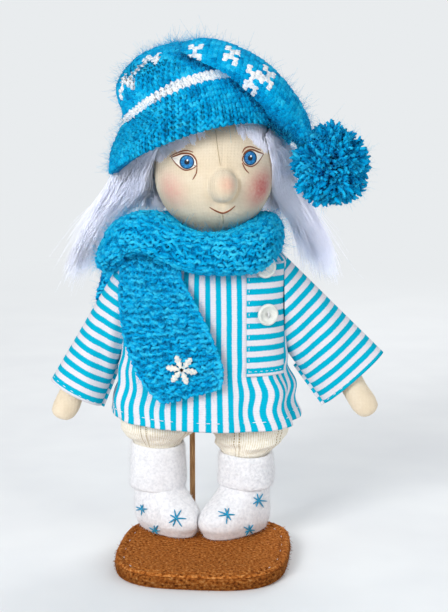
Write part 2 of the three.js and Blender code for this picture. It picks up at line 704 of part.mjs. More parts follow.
// Wig base: fills the space between head and hat down to the brim, open at the face
function wigCap() {
  const crown = pillar(HAT_X, 0, 2 * HAT_HALF_WIDTH, HEAD_BOTTOM, HEAD_BOTTOM + WIG_HEIGHT, 12);
  return cut(hatForm(-HAT_WALL - GAP, HAT_HEIGHT - HAT_WALL - GAP, -1.5).intersect(crown), headForm(GAP));
}

// Hair locks: loose wisps that leave the wig below the brim, each row given in shares of
// HAIR_REACH outwards, HEAD_HEIGHT upwards, LOCK_HALF_WIDTH, LOCK_THICKNESS and HEAD_HALF_DEPTH backwards
function hairLock(rows, around) {
  const sized = rows.map(([out, up, width, thickness, back]) => [
    out * HAIR_REACH,
    HEAD_BOTTOM + up * HEAD_HEIGHT,
    width * LOCK_HALF_WIDTH,
    thickness * LOCK_THICKNESS,
    back * HEAD_HALF_DEPTH,
  ]);
  return cut(limb(sized, 6, 8), ...around);
}

function leftHair(around) {
  return hairLock([
    [0.45, 0.64, 0.72, 0.5, 0.45],
    [0.56, 0.38, 1, 0.6, 0.48],
    [0.72, 0.07, 0.96, 0.5, 0.51],
    [0.92, -0.29, 0.56, 0.35, 0.54],
    [1, -0.46, 0.16, 0.17, 0.54],
  ], around);
}

function rightHair(around) {
  return hairLock([
    [-0.29, 0.52, 0.64, 0.5, 0.39],
    [-0.48, 0.4, 0.84, 0.6, 0.42],
    [-0.68, 0.19, 0.96, 0.5, 0.48],
    [-0.88, -0.1, 0.8, 0.35, 0.51],
    [-0.99, -0.35, 0.24, 0.17, 0.54],
  ], around);
}

// Back hair: a curved curtain behind the head that clears the scarf as the head turns
function backHair(around) {
  const steps = 10;
  const top = HEAD_BOTTOM + 0.52 * HEAD_HEIGHT;
  const rows = [
    [0, 0.96, 0.55],
    [0.3, 1.08, 0.66],
    [0.65, 1.25, 0.66],
    [1, 1.37, 0.33],
  ].map(([drop, radius, thickness]) => [drop, radius * HEAD_HALF_DEPTH, thickness * LOCK_THICKNESS]);
  const rings = Array.from({ length: steps + 1 }, (_, step) => {
    const angle = THREE.MathUtils.lerp(40, 140, step / steps) * DEGREE;
    const outward = new THREE.Vector2(Math.cos(angle), Math.sin(angle));
    const level = (drop) => top - drop * BACK_HAIR_LENGTH;
    const outer = rows.map(([drop, radius, thickness]) => [radius + thickness, level(drop)]);
    const inner = rows.map(([drop, radius]) => [radius, level(drop)]).reverse();
    return [...outer, ...inner].map(([radius, height]) => (
      new THREE.Vector3(HEAD_X + outward.x * radius, outward.y * radius, height)));
  });
  return cut(toSolid(loft(rings)), ...around);
}

// Hat tail: folded over the crown to the doll's left, narrowing to the pompom. Each row is given in
// shares of HAT_HALF_WIDTH outwards, HAT_HEIGHT downwards, TAIL_HALF_THICKNESS, and TAIL_HALF_BREADTH
// for its breadth and its place backwards
const tailRows = [
  [-0.28, 0.06, 0.42, 0.72, -0.11],
  [0.04, 0.073, 0.95, 1, -0.18],
  [0.5, 0.177, 1.1, 0.94, -0.3],
  [0.826, 0.323, 1, 0.66, -0.41],
  [1.01, 0.417, 0.58, 0.3, -0.46],
  [1.11, 0.479, 0.15, 0.05, -0.48],
].map(([out, down, thickness, breadth, back]) => [
  out * HAT_HALF_WIDTH,
  HAT_TOP - down * HAT_HEIGHT,
  thickness * TAIL_HALF_THICKNESS,
  breadth * TAIL_HALF_BREADTH,
  back * TAIL_HALF_BREADTH,
]);
const [tipX, tipLevel, , , tipY] = tailRows[tailRows.length - 1];
const tailTip = new THREE.Vector3(tipX, tipY, tipLevel);

function hatTail() {
  return limb(tailRows, 10, 16, 3.2).subtract(hatForm(GAP, HAT_HEIGHT + GAP, 0));
}

function pompom() {
  const hang = new THREE.Vector3(0.7, 0.05, -0.71).normalize();
  const ball = new THREE.SphereGeometry(POMPOM_RADIUS, 14, 10).rotateX(Math.PI / 2);
  const reach = POMPOM_RADIUS / Math.hypot(hang.x, hang.y, hang.z / POMPOM_HEIGHT_FACTOR);
  const centre = tailTip.clone().addScaledVector(hang, reach + 2 * GAP);
  return toSolid(ball.scale(1, 1, POMPOM_HEIGHT_FACTOR).translate(centre.x, centre.y, centre.z));
}

// Scarf: a thick wrap round the neck, and two ends that hang over the shirt
function scarfLevel(angle) {
  return COLLAR_LEVEL - SCARF_SINK + SCARF_TILT_HEIGHT * Math.cos(angle);
}

function scarfWrap(clear) {
  const turns = 20;
  const corners = 8;
  const rings = Array.from({ length: turns }, (_, turn) => {
    const angle = (turn / turns) * 2 * Math.PI;
    const level = scarfLevel(angle);
    const bulge = 1 + 0.12 * Math.max(0, -Math.cos(angle));
    return Array.from({ length: corners }, (__, corner) => {
      const turnAngle = -(corner / corners) * 2 * Math.PI;
      const out = bulge * SCARF_HALF_THICKNESS * Math.cos(turnAngle);
      return new THREE.Vector3(
        SCARF_CENTRE_X + (SCARF_HALF_WIDTH + out) * Math.cos(angle),
        SCARF_CENTRE_Y + (SCARF_HALF_DEPTH + out) * Math.sin(angle),
        level + SCARF_HALF_HEIGHT * Math.sin(turnAngle));
    });
  });
  return cut(toSolid(closedLoft(rings)), ...clear);
}

// A closed skin over rings that run round in a loop
function closedLoft(rings) {
  const sides = rings[0].length;
  const index = [];
  rings.forEach((_, row) => {
    const low = row * sides;
    const high = ((row + 1) % rings.length) * sides;
    for (let side = 0; side < sides; side += 1) {
      const next = (side + 1) % sides;
      index.push(low + side, low + next, high + next, low + side, high + next, high + side);
    }
  });
  return new THREE.BufferGeometry().setFromPoints(rings.flat()).setIndex(index);
}

// The space that the top of the right sleeve sweeps as its arm swings
function sleeveTurnSpace() {
  const radius = ARMHOLE_ABOVE + 2 * GAP;
  const roll = pillar(0, 0, radius, 0, SLEEVE_LENGTH, 24).rotate([0, -90, 0]);
  return roll.translate([-SHIRT_HALF_WIDTH, 0, SHOULDER_LEVEL]);
}

// The space that the head sweeps as it turns
function headTurnSpace() {
  const profile = [
    [0, 0],
    [0.34, 0],
    [0.58, 0.05],
    [0.82, 0.15],
    [0.99, 0.3],
    [1.05, 0.46],
    [0, 0.6],
  ].map(([radius, height]) => new THREE.Vector2(
    radius === 0 ? 0 : radius * HEAD_HALF_DEPTH + 2 * GAP,
    HEAD_BOTTOM + height * HEAD_HEIGHT - 2 * GAP));
  return toSolid(new THREE.LatheGeometry(profile, 28).rotateX(Math.PI / 2).translate(HEAD_X, 0, 0));
}

const scarfEndTop = scarfLevel(Math.PI) - SCARF_HALF_HEIGHT - SCARF_END_LIFT_ROOM;

// Outline of a hanging end: it sways sideways, twists a little and is drawn in at the neck
function scarfOutline(topX, sway, twist, length) {
  const steps = 4;
  const edges = [[], []];
  for (let step = 0; step <= steps; step += 1) {
    const t = step / steps;
    const half = (SCARF_END_WIDTH / 2) * (0.8 + 0.26 * Math.sin(Math.PI * t) + 0.15 * t);
    const across = new THREE.Vector2(Math.cos(twist * t), Math.sin(twist * t)).multiplyScalar(half);
    const centre = new THREE.Vector2(topX + sway * (0.6 * t + 0.4 * t * t), scarfEndTop - length * t);
    edges[0].push(centre.clone().sub(across).toArray());
    edges[1].unshift(centre.clone().add(across).toArray());
  }
  return edges.flat();
}

function scarfFrontEnd() {
  const outline = scarfOutline(SCARF_FRONT_TOP_X, SCARF_FRONT_SWAY, SCARF_FRONT_TWIST, SCARF_FRONT_LENGTH);
  return layerOnShirt(outline, GAP, SCARF_END_THICKNESS);
}

// The back end hangs straight behind the shoulder, against the back of the shirt
function scarfBackEnd() {
  const outline = scarfOutline(SCARF_BACK_TOP_X, SCARF_BACK_SWAY, 0, SCARF_BACK_LENGTH);
  const front = SHIRT_HALF_DEPTH - CLOTH;
  return prism(outline, front, front + SCARF_END_THICKNESS).subtract(shirtForm(GAP, PAST_HEM));
}

// Snowflake: paddle-shaped arms round a hub
function snowflake(seatedOn) {
  const arms = 6;
  const armOutline = [
    [0.24, 0.5],
    [0.56, 0.16],
    [0.72, 0.22],
    [0.94, 0.18],
    [1, 0],
  ];
  const points = [];
  for (let turn = 0; turn < arms; turn += 1) {
    const angle = (turn / arms) * 2 * Math.PI + 0.2;
    const sides = [...armOutline.map(([r, w]) => [r, -w]), ...armOutline.slice(0, -1).reverse()];
    sides.forEach(([share, spread]) => {
      const direction = angle + Math.atan2(spread * 0.5, share * 1.2);
      const radius = share * SNOWFLAKE_RADIUS;
      points.push([Math.cos(direction) * radius, Math.sin(direction) * radius]);
    });
  }
  const t = 1 - SNOWFLAKE_ABOVE_END / SCARF_FRONT_LENGTH;
  const x = SCARF_FRONT_TOP_X + SCARF_FRONT_SWAY * (0.6 * t + 0.4 * t * t);
  const z = scarfEndTop - SCARF_FRONT_LENGTH * t;
  const flat = prism(points, -SNOWFLAKE_THICKNESS, 0).translate([x, 0, z]);
  let reach = 2 * SHIRT_HALF_DEPTH;
  while (reach > 0 && flat.translate([0, -reach, 0]).intersect(seatedOn).isEmpty()) {
    reach -= GAP / 2;
  }
  return flat.translate([0, -reach - 1.5 * GAP, 0]);
}

// Assembly
const shirtSolid = shirtBody();
const placketSolid = placket();
const frontEnd = scarfFrontEnd();
const upperButton = placedButton(0, shirtSolid.add(placketSolid));
const lowerButton = placedButton(LOWER_BUTTON_DROP, placketSolid);
const neckClear = pillar(0, 0, NECK_RADIUS + GAP, COLLAR_LEVEL - NECK_LENGTH, NECK_TOP + GAP, 14);
const scarfClear = [shirtForm(GAP, 1), neckClear, headTurnSpace(), placketClear(), buttonClear(),
  sleeveTurnSpace()];
const hairClear = [headForm(GAP), hatForm(GAP, HAT_HEIGHT, GAP)];
const legs = {
  ...legPieces('left', LEFT_LEG_X, LEFT_LEG_Y, LEFT_TOE_IN),
  ...legPieces('right', RIGHT_LEG_X, RIGHT_LEG_Y, RIGHT_TOE_IN),
};
legs.right_boot = legs.right_boot.subtract(placeLeg(bootForm(GAP), LEFT_LEG_X, LEFT_LEG_Y, LEFT_TOE_IN));

const dollSolids = {
  support_dowel: dowel(DOWEL_DIAMETER / 2, boardBottom - BASE_TOP, dowelTop),
  torso,
  ...legs,
  trousers: trousers(),
  shirt_body: shirtSolid,
  placket: placketSolid,
  upper_button: upperButton,
  lower_button: lowerButton,
  left_arm: arm(1, LEFT_ARM_LEAN),
  left_sleeve: sleeve(1, LEFT_SLEEVE_LEAN, LEFT_CUFF_HALF_WIDTH, LEFT_CUFF_HALF_DEPTH),
  right_arm: arm(-1, RIGHT_ARM_LEAN),
  right_sleeve: sleeve(-1, RIGHT_SLEEVE_LEAN, RIGHT_CUFF_HALF_WIDTH, RIGHT_CUFF_HALF_DEPTH),
  scarf_wrap: scarfWrap(scarfClear),
  scarf_front_end: frontEnd,
  snowflake: snowflake(frontEnd),
  scarf_back_end: scarfBackEnd(),
  head: headForm(0),
  wig_cap: wigCap(),
  left_hair: leftHair(hairClear),
  right_hair: rightHair(hairClear),
  back_hair: backHair(hairClear),
  hat_cap: hatCap(),
  hat_tail: hatTail(),
  pompom: pompom(),
};

// Finishes: colour and roughness of each material
const finishes = {
  brown_felt: [0x9a5628, 0.95],
  wood: [0xb98a55, 0.7],
  linen: [0xe2d3b8, 0.9],
  rib_knit: [0xe9e2d0, 0.95],
  fleece: [0xf2f3f4, 0.95],
  striped_cotton: [0xbfe6ee, 0.85],
  pearl: [0xf2f2ee, 0.3],
  blue_knit: [0x1b93c6, 0.95],
  white_felt: [0xf4f4f2, 0.9],
  white_hair: [0xebebf0, 0.6],
};

const pieceFinish = {
  base_board: 'wood',
  support_dowel: 'wood',
  torso: 'linen',
  left_leg: 'linen',
  right_leg: 'linen',
  left_arm: 'linen',
  right_arm: 'linen',
  head: 'linen',
  trousers: 'rib_knit',
  shirt_body: 'striped_cotton',
  placket: 'striped_cotton',
  left_sleeve: 'striped_cotton',
  right_sleeve: 'striped_cotton',
  upper_button: 'pearl',
  lower_button: 'pearl',
  scarf_wrap: 'blue_knit',
  scarf_front_end: 'blue_knit',
  scarf_back_end: 'blue_knit',
  hat_cap: 'blue_knit',
  hat_tail: 'blue_knit',
  pompom: 'blue_knit',
  snowflake: 'white_felt',
  wig_cap: 'white_hair',
  left_hair: 'white_hair',
  right_hair: 'white_hair',
  back_hair: 'white_hair',
};

function finishName(name) {
  if (name.includes('felt')) {
    return 'brown_felt';
  }
  return name.includes('boot') ? 'fleece' : pieceFinish[name];
}

function addPieces(group, solids) {
  Object.entries(solids).forEach(([name, solid]) => {
    const [color, roughness] = finishes[finishName(name)];
    const material = new THREE.MeshStandardMaterial({ color, roughness, metalness: 0 });
    const mesh = new THREE.Mesh(toGeometry(solid), material);
    mesh.name = name;
    group.add(mesh);
  });
}

const part = new THREE.Group();
const doll = new THREE.Group();
doll.position.set(0, DOLL_SETBACK, BASE_TOP);
part.add(doll);
addPieces(part, standPieces());
addPieces(doll, dollSolids);

export default part;
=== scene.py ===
import json
import math

import bmesh
import bpy
import numpy as np
from mathutils import Matrix, Vector
from mathutils.bvhtree import BVHTree


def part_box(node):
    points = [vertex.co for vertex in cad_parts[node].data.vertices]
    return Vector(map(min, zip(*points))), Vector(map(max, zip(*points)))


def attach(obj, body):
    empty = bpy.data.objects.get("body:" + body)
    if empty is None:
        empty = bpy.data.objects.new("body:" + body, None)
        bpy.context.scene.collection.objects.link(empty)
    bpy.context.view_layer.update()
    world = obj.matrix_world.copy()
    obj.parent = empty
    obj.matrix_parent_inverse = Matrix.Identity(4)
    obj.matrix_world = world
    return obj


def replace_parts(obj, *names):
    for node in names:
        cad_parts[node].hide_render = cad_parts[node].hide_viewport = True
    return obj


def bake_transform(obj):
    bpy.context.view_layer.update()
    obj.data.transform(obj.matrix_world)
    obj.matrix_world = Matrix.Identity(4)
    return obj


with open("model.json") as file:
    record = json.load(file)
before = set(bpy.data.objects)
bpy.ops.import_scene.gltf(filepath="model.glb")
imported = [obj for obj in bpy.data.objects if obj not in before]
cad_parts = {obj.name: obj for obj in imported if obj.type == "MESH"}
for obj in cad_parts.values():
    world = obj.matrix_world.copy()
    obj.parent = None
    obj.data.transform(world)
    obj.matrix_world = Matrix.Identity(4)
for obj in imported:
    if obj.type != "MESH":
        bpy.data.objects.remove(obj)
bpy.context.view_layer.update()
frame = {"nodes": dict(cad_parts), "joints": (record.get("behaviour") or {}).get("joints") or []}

MM = 0.001
TURN = 2 * math.pi


def node_box(name):
    """Lowest and highest corner of a solid, in millimetres."""
    low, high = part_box(name)
    return np.array(low) / MM, np.array(high) / MM


def joint_place(name):
    """Where a joint's axis passes, in millimetres."""
    joint = next(j for j in frame["joints"] if j["name"] == name)
    return np.array(joint["pos_m"]) / MM


# Places and sizes taken from the solids
torso_low, torso_high = node_box("torso")
shirt_low, shirt_high = node_box("shirt_body")
head_low, head_high = node_box("head")
hat_low, hat_high = node_box("hat_cap")
pompom_low, pompom_high = node_box("pompom")
DOLL_Y = (torso_low[1] + torso_high[1]) / 2
BASE_TOP = node_box("base_top_felt")[1][2]
COLLAR = shirt_high[2]
HEM = shirt_low[2]
HEAD_X = joint_place("head_turn")[0]
HEAD_BOTTOM = head_low[2]
HEAD_HEIGHT = head_high[2] - head_low[2]
HEAD_HALF_WIDTH = (head_high[0] - head_low[0]) / 2
HEAD_HALF_DEPTH = head_high[1] - DOLL_Y
HAT_X = (hat_low[0] + hat_high[0]) / 2
HAT_HALF_WIDTH = (hat_high[0] - hat_low[0]) / 2
HAT_HALF_DEPTH = hat_high[1] - DOLL_Y
HAT_TOP = hat_high[2]

# The camera of the photograph
IMAGE_WIDTH = 448
IMAGE_HEIGHT = 612
FOCAL_PIXELS = 1524
CAMERA_X = 10.5
CAMERA_DISTANCE = 800
CAMERA_HEIGHT = 276
CAMERA_PLACE = np.array([CAMERA_X, DOLL_Y - CAMERA_DISTANCE, CAMERA_HEIGHT])
CAMERA_PITCH = math.radians(10.3)


def pixel_ray(u, v):
    """Direction from the camera through a pixel of the photograph."""
    ahead = np.array([0, math.cos(CAMERA_PITCH), -math.sin(CAMERA_PITCH)])
    up = np.array([0, math.sin(CAMERA_PITCH), math.cos(CAMERA_PITCH)])
    right = np.array([1, 0, 0])
    aim = ahead + right * (u - IMAGE_WIDTH / 2) / FOCAL_PIXELS + up * (IMAGE_HEIGHT / 2 - v) / FOCAL_PIXELS
    return aim / np.linalg.norm(aim)


# Curves and surfaces
def smooth_at(rows, place):
    """Values of a smooth curve through rows of numbers, at fractional row numbers."""
    rows = np.asarray(rows, float)
    place = np.asarray(place, float)
    last = len(rows) - 1
    start = np.clip(np.floor(place).astype(int), 0, last - 1)
    t = (place - start)[..., None]
    before = rows[np.maximum(start - 1, 0)]
    here = rows[start]
    there = rows[start + 1]
    after = rows[np.minimum(start + 2, last)]
    leave = (there - before) / 2
    arrive = (after - here) / 2
    rise = there - here
    return here + t * (leave + t * (3 * rise - 2 * leave - arrive + t * (leave + arrive - 2 * rise)))


def along(rows, share):
    """The same curve, by a share of its length in rows from 0 to 1."""
    return smooth_at(rows, np.clip(share, 0, 1) * (len(rows) - 1))


def bell(value, middle, reach):
    """One at the middle, falling off smoothly over the reach."""
    return np.exp(-(((value - middle) / reach) ** 2))


def superellipse(turn, power):
    """Across and deep, from -1 to 1, on a rounded rectangle; power 2 is an ellipse."""
    shape = 2 / np.asarray(power)
    cosine = np.cos(TURN * turn)
    sine = np.sin(TURN * turn)
    return np.sign(cosine) * np.abs(cosine) ** shape, np.sign(sine) * np.abs(sine) ** shape


def unit(vectors):
    """Vectors with the same directions and a length of one."""
    return vectors / (np.linalg.norm(vectors, axis=-1, keepdims=True) + 1e-9)


def outward(surface, a, b):
    """Directions that face out of a surface that is given by two shares, a across and b upwards."""
    step = 2e-3
    across = surface(a + step, b) - surface(a - step, b)
    upward = surface(a, b + step) - surface(a, b - step)
    return unit(np.cross(across, upward))


def lifted(surface, a, b, height):
    """Points at a height over such a surface, one for all or one for each."""
    return surface(a, b) + outward(surface, a, b) * np.asarray(height)[..., None]


# Meshes
def grid_corners(rows, columns, wrap_rows, wrap_columns):
    """Row and column of each corner of a grid's faces, before they wrap."""
    row, column = np.meshgrid(
        np.arange(rows - (not wrap_rows)), np.arange(columns - (not wrap_columns)), indexing="ij"
    )
    corner_rows = np.stack([row, row, row + 1, row + 1], -1).reshape(-1, 4)
    corner_columns = np.stack([column, column + 1, column + 1, column], -1).reshape(-1, 4)
    return corner_rows, corner_columns


def grid(rows, columns, wrap_rows, wrap_columns):
    """Faces of a grid of points."""
    corner_rows, corner_columns = grid_corners(rows, columns, wrap_rows, wrap_columns)
    return (corner_rows % rows) * columns + corner_columns % columns


def tubes(paths, radii, sides):
    """Points and faces of thin tubes: paths holds strands of points, radii one radius for each point."""
    strands, steps, _ = paths.shape
    run = unit(np.gradient(paths, axis=1))
    guide = np.where(np.abs(run[..., 2:]) < 0.9, [0.0, 0.0, 1.0], [1.0, 0.0, 0.0])
    side = unit(np.cross(run, guide))
    other = np.cross(run, side)
    angle = TURN * np.arange(sides) / sides
    ring = np.cos(angle)[:, None] * side[:, :, None, :] + np.sin(angle)[:, None] * other[:, :, None, :]
    points = paths[:, :, None, :] + ring * radii[:, :, None, None]
    first = (np.arange(strands) * steps * sides)[:, None, None]
    faces = first + grid(steps, sides, False, True)
    return points.reshape(-1, 3), faces.reshape(-1, 4)


def joined(parts):
    """One list of points and one of faces out of several."""
    points = []
    faces = []
    count = 0
    for part_points, part_faces in parts:
        points.append(part_points)
        faces.append(part_faces + count)
        count += len(part_points)
    return np.concatenate(points), np.concatenate(faces)


def shade_smooth(mesh):
    mesh.polygons.foreach_set("use_smooth", [True] * len(mesh.polygons))


def make_object(name, points, faces, material):
    """A mesh in the scene from points in millimetres."""
    mesh = bpy.data.meshes.new(name)
    mesh.from_pydata((np.asarray(points) * MM).tolist(), [], np.asarray(faces).tolist())
    shade_smooth(mesh)
    mesh.materials.append(material)
    mesh.update()
    made = bpy.data.objects.new(name, mesh)
    bpy.context.scene.collection.objects.link(made)
    return made


def lathe(name, rings, material):
    """A closed shape out of rings of points, the last of which joins the first."""
    faces = grid(len(rings), len(rings[0]), True, True)
    return make_object(name, np.concatenate(rings), faces, material)


def vertex_places(made):
    """The points of a mesh, in millimetres."""
    places = np.zeros(len(made.data.vertices) * 3, np.float32)
    made.data.vertices.foreach_get("co", places)
    return places.reshape(-1, 3).astype(float) / MM


def move_vertices(made, places):
    made.data.vertices.foreach_set("co", (places * MM).ravel())
    made.data.update()


def set_uv(made, corner_uv):
    """One texture place for each corner of each face."""
    layers = made.data.uv_layers
    layer = layers.get("cloth") or layers.new(name="cloth")
    layer.data.foreach_set("uv", np.asarray(corner_uv, np.float32).ravel())


def get_uv(made):
    layer = made.data.uv_layers["cloth"].data
    corner_uv = np.zeros(len(layer) * 2, np.float32)
    layer.foreach_get("uv", corner_uv)
    return corner_uv.reshape(-1, 2)


def set_value(made, name, values):
    """One number for each point, which the material reads by its name."""
    store = made.data.attributes.new(name, "FLOAT", "POINT")
    store.data.foreach_set("value", np.asarray(values, np.float32))


def dress(made, body, slot, *nodes):
    """The piece moves with a body and stands for solids; the slot is not used."""
    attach(made, body)
    if nodes:
        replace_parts(made, *nodes)
    return made


def bend(made, held, moving, start, end, slot):
    """Bakes the piece's place into its mesh; held, moving, start, end and slot are not used."""
    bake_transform(made)


def tube_cloth(name, surface, columns, rows, thickness, material, girth, length, stripes_round):
    """A tube of cloth with two sides. Its stripes run along it, or round it."""
    a, b = np.meshgrid(np.arange(columns) / columns, np.linspace(0, 1, rows))
    outer = lifted(surface, a, b, 0)
    inner = lifted(surface, a, b, -thickness)
    points = np.concatenate([outer, inner[::-1]]).reshape(-1, 3)
    made = make_object(name, points, grid(2 * rows, columns, True, True), material)
    corner_rows, corner_columns = grid_corners(2 * rows, columns, True, True)
    level = np.where(corner_rows < rows, corner_rows, 2 * rows - 1 - corner_rows) / (rows - 1)
    u = corner_columns / columns * girth
    v = np.maximum(level, 0) * length
    set_uv(made, np.stack([v, u] if stripes_round else [u, v], -1) * MM)
    return made


def flat_cloth(name, surface, columns, rows, thickness, material, width, length, stripes_across):
    """A flat piece of cloth with two sides and closed edges."""
    a_line = np.linspace(0, 1, columns)
    a, b = np.meshgrid(np.concatenate([a_line, a_line[::-1]]), np.linspace(0, 1, rows))
    depth = np.where(np.arange(2 * columns) < columns, 0.0, -thickness)
    points = lifted(surface, a, b, depth).reshape(-1, 3)
    strip = np.arange(columns - 1)
    back = 2 * columns - 1 - strip
    bottom = np.stack([strip, back, back - 1, strip + 1], -1)
    top = np.stack([strip, strip + 1, back - 1, back], -1) + (rows - 1) * 2 * columns
    faces = np.concatenate([grid(rows, 2 * columns, False, True), bottom, top])
    made = make_object(name, points, faces, material)
    u = a.reshape(-1)[faces.ravel()] * width
    v = b.reshape(-1)[faces.ravel()] * length
    set_uv(made, np.stack([v, u] if stripes_across else [u, v], -1) * MM)
    return made


# Scatter and fibres
FIBRE_SIDES = 3
FIBRE_TAPER = 0.7
FIBRE_LENGTHS = (0.55, 1.25)
# Running stitches: the length of a stitch, the gap to the next one and the radius of the thread
BASE_STITCH = (2.2, 11.0, 0.2)
HEM_STITCH = (2.3, 2.6, 0.2)
CUFF_STITCH = (1.8, 3.2, 0.16)
PANEL_STITCH = (1.4, 1.6, 0.14)
THREAD_PROFILE = np.array([0.4, 1, 1.1, 1, 0.4])
THREAD_SIDES = 5


def scatter(made, count, seed):
    """Random places on a mesh, evenly by area, with the directions that face out there."""
    mesh = made.data
    mesh.calc_loop_triangles()
    corners = np.zeros(len(mesh.loop_triangles) * 3, np.int32)
    mesh.loop_triangles.foreach_get("vertices", corners)
    triangle = vertex_places(made)[corners.reshape(-1, 3)]
    normal = np.cross(triangle[:, 1] - triangle[:, 0], triangle[:, 2] - triangle[:, 0])
    area = np.linalg.norm(normal, axis=-1)
    rng = np.random.default_rng(seed)
    chosen = rng.choice(len(area), count, p=area / area.sum())
    share = rng.random((count, 2))
    folded = share.sum(1) > 1
    share[folded] = 1 - share[folded]
    first, second, third = (triangle[chosen, k] for k in range(3))
    root = first + share[:, :1] * (second - first) + share[:, 1:] * (third - first)
    return root, unit(normal[chosen])


def fibres(roots, normals, length, radius, lean, curl, seed, steps=4):
    """Thin curved hairs that stand on a surface: lean tips them over, curl bends them."""
    rng = np.random.default_rng(seed)
    count = len(roots)
    aim = unit(normals + lean * rng.normal(size=(count, 3)))
    bend = curl * rng.normal(size=(count, 3))
    reach = length * rng.uniform(*FIBRE_LENGTHS, (count, 1, 1))
    t = np.linspace(0, 1, steps)[None, :, None]
    paths = roots[:, None] + reach * (aim[:, None] * t + bend[:, None] * t * t)
    radii = radius * (1 - FIBRE_TAPER * t[..., 0]) * np.ones((count, 1))
    return tubes(paths, radii, FIBRE_SIDES)


def nearest_tree(made):
    """A search tree over a finished mesh, in metres."""
    return BVHTree.FromObject(made, bpy.context.evaluated_depsgraph_get())


def seated(tree, point, height):
    """The place on a mesh nearest to a point, at a height over it."""
    place, normal, _, _ = tree.find_nearest(Vector(point) * MM)
    return (np.array(place) + np.array(normal) * height * MM) / MM


def seen_at(tree, u, v):
    """The place on a mesh that a pixel of the photograph shows."""
    place, _, _, _ = tree.ray_cast(Vector(CAMERA_PLACE) * MM, Vector(pixel_ray(u, v)))
    return None if place is None else np.array(place) / MM


def walked(points):
    """Length of the way along a line of points, up to each of them."""
    return np.concatenate([[0], np.cumsum(np.linalg.norm(np.diff(points, axis=0), axis=1))])


def running_stitch(name, points, dash, gap, radius):
    """Short stitches of white thread that follow a line of points."""
    walk = walked(points)
    starts = np.arange(gap / 2, walk[-1] - dash, dash + gap)
    places = starts[:, None] + dash * np.linspace(0, 1, len(THREAD_PROFILE))
    paths = np.stack([np.interp(places, walk, points[:, axis]) for axis in range(3)], -1)
    radii = radius * THREAD_PROFILE * np.ones((len(starts), 1))
    return make_object(name, *tubes(paths, radii, THREAD_SIDES), white_thread)


# Materials
def tone(code):
    """Linear colour of a six-digit code."""
    shares = [int(code[k : k + 2], 16) / 255 for k in (0, 2, 4)]
    return (*(s / 12.92 if s <= 0.04045 else ((s + 0.055) / 1.055) ** 2.4 for s in shares), 1)


class Nodes:
    """A node tree under construction: short calls that add and join nodes."""

    def __init__(self, owner, output):
        owner.use_nodes = True
        self.tree = owner.node_tree
        self.output = self.tree.nodes[output]

    def join(self, value, socket):
        """Links an output to a socket, or sets a plain value there."""
        if isinstance(value, bpy.types.NodeSocket):
            self.tree.links.new(value, socket)
        else:
            socket.default_value = value

    def add(self, kind, sockets=(), **settings):
        node = self.tree.nodes.new(kind)
        for key, value in settings.items():
            setattr(node, key, value)
        for key, value in dict(sockets).items():
            self.join(value, node.inputs[key])
        return node

    def math(self, operation, first, second=0.0):
        return self.add("ShaderNodeMath", {0: first, 1: second}, operation=operation).outputs[0]

    def scaled(self, value, factor):
        return self.math("MULTIPLY", value, factor)

    def range(self, value, low, high, at_low=0.0, at_high=1.0, smooth=False):
        """One value over a range of another, straight or with soft ends."""
        sockets = {"Value": value, "From Min": low, "From Max": high, "To Min": at_low, "To Max": at_high}
        kind = "SMOOTHSTEP" if smooth else "LINEAR"
        return self.add("ShaderNodeMapRange", sockets, interpolation_type=kind).outputs[0]

    def seen_directly(self):
        """One for the rays that show the backdrop, and nothing for the rays that light the doll."""
        path = self.add("ShaderNodeLightPath").outputs
        clear = self.math("MAXIMUM", path["Is Glossy Ray"], path["Is Transmission Ray"])
        return self.math("MAXIMUM", path["Is Camera Ray"], clear)

    def show(self, shader):
        self.tree.links.new(shader.outputs[0], self.output.inputs["Surface"])


class Finish(Nodes):
    """A material under construction."""

    def __init__(self, name, roughness, sheen=0.0, specular=0.3):
        self.material = bpy.data.materials.new(name)
        super().__init__(self.material, "Material Output")
        self.shader = self.tree.nodes["Principled BSDF"]
        self.shader.inputs["Roughness"].default_value = roughness
        self.shader.inputs["Sheen Weight"].default_value = sheen
        self.shader.inputs["Specular IOR Level"].default_value = specular

    def stored(self, name):
        """A number that the points of a mesh hold."""
        return self.add("ShaderNodeAttribute", attribute_name=name).outputs["Fac"]

    def coordinates(self, kind="Object"):
        return self.add("ShaderNodeTexCoord").outputs[kind]

    def noise(self, size, detail=2.0, vector=None):
        """Noise with blobs of about that size in millimetres."""
        sockets = {"Vector": vector or self.coordinates(), "Scale": 1 / (size * MM), "Detail": detail}
        return self.add("ShaderNodeTexNoise", sockets).outputs["Fac"]

    def wave(self, pitch, axis, vector=None, distortion=0.0):
        """Bands with that pitch in millimetres across one axis."""
        sockets = {
            "Vector": vector or self.coordinates(),
            "Scale": TURN / (20 * pitch * MM),
            "Distortion": distortion,
        }
        return self.add("ShaderNodeTexWave", sockets, bands_direction=axis).outputs["Fac"]

    def ramp(self, value, stops):
        """Colours along a value: stops holds places and colour codes."""
        node = self.add("ShaderNodeValToRGB", {"Fac": value})
        elements = node.color_ramp.elements
        while len(elements) < len(stops):
            elements.new(0.5)
        for element, (place, code) in zip(elements, stops):
            element.position = place
            element.color = tone(code)
        return node.outputs["Color"]

    def mix(self, factor, first, second, blend="MIX"):
        sockets = {"Factor": factor, 6: first, 7: second}
        return self.add("ShaderNodeMix", sockets, data_type="RGBA", blend_type=blend).outputs[2]

    def colour(self, socket):
        self.tree.links.new(socket, self.shader.inputs["Base Color"])

    def bump(self, height, distance, strength=1.0):
        sockets = {"Height": height, "Strength": strength, "Distance": distance * MM}
        node = self.add("ShaderNodeBump", sockets)
        self.tree.links.new(node.outputs["Normal"], self.shader.inputs["Normal"])


# Between these levels the painted shade on the stand's side fades out towards the top
EDGE_LOW = BASE_TOP - 2
EDGE_HIGH = BASE_TOP - 0.6


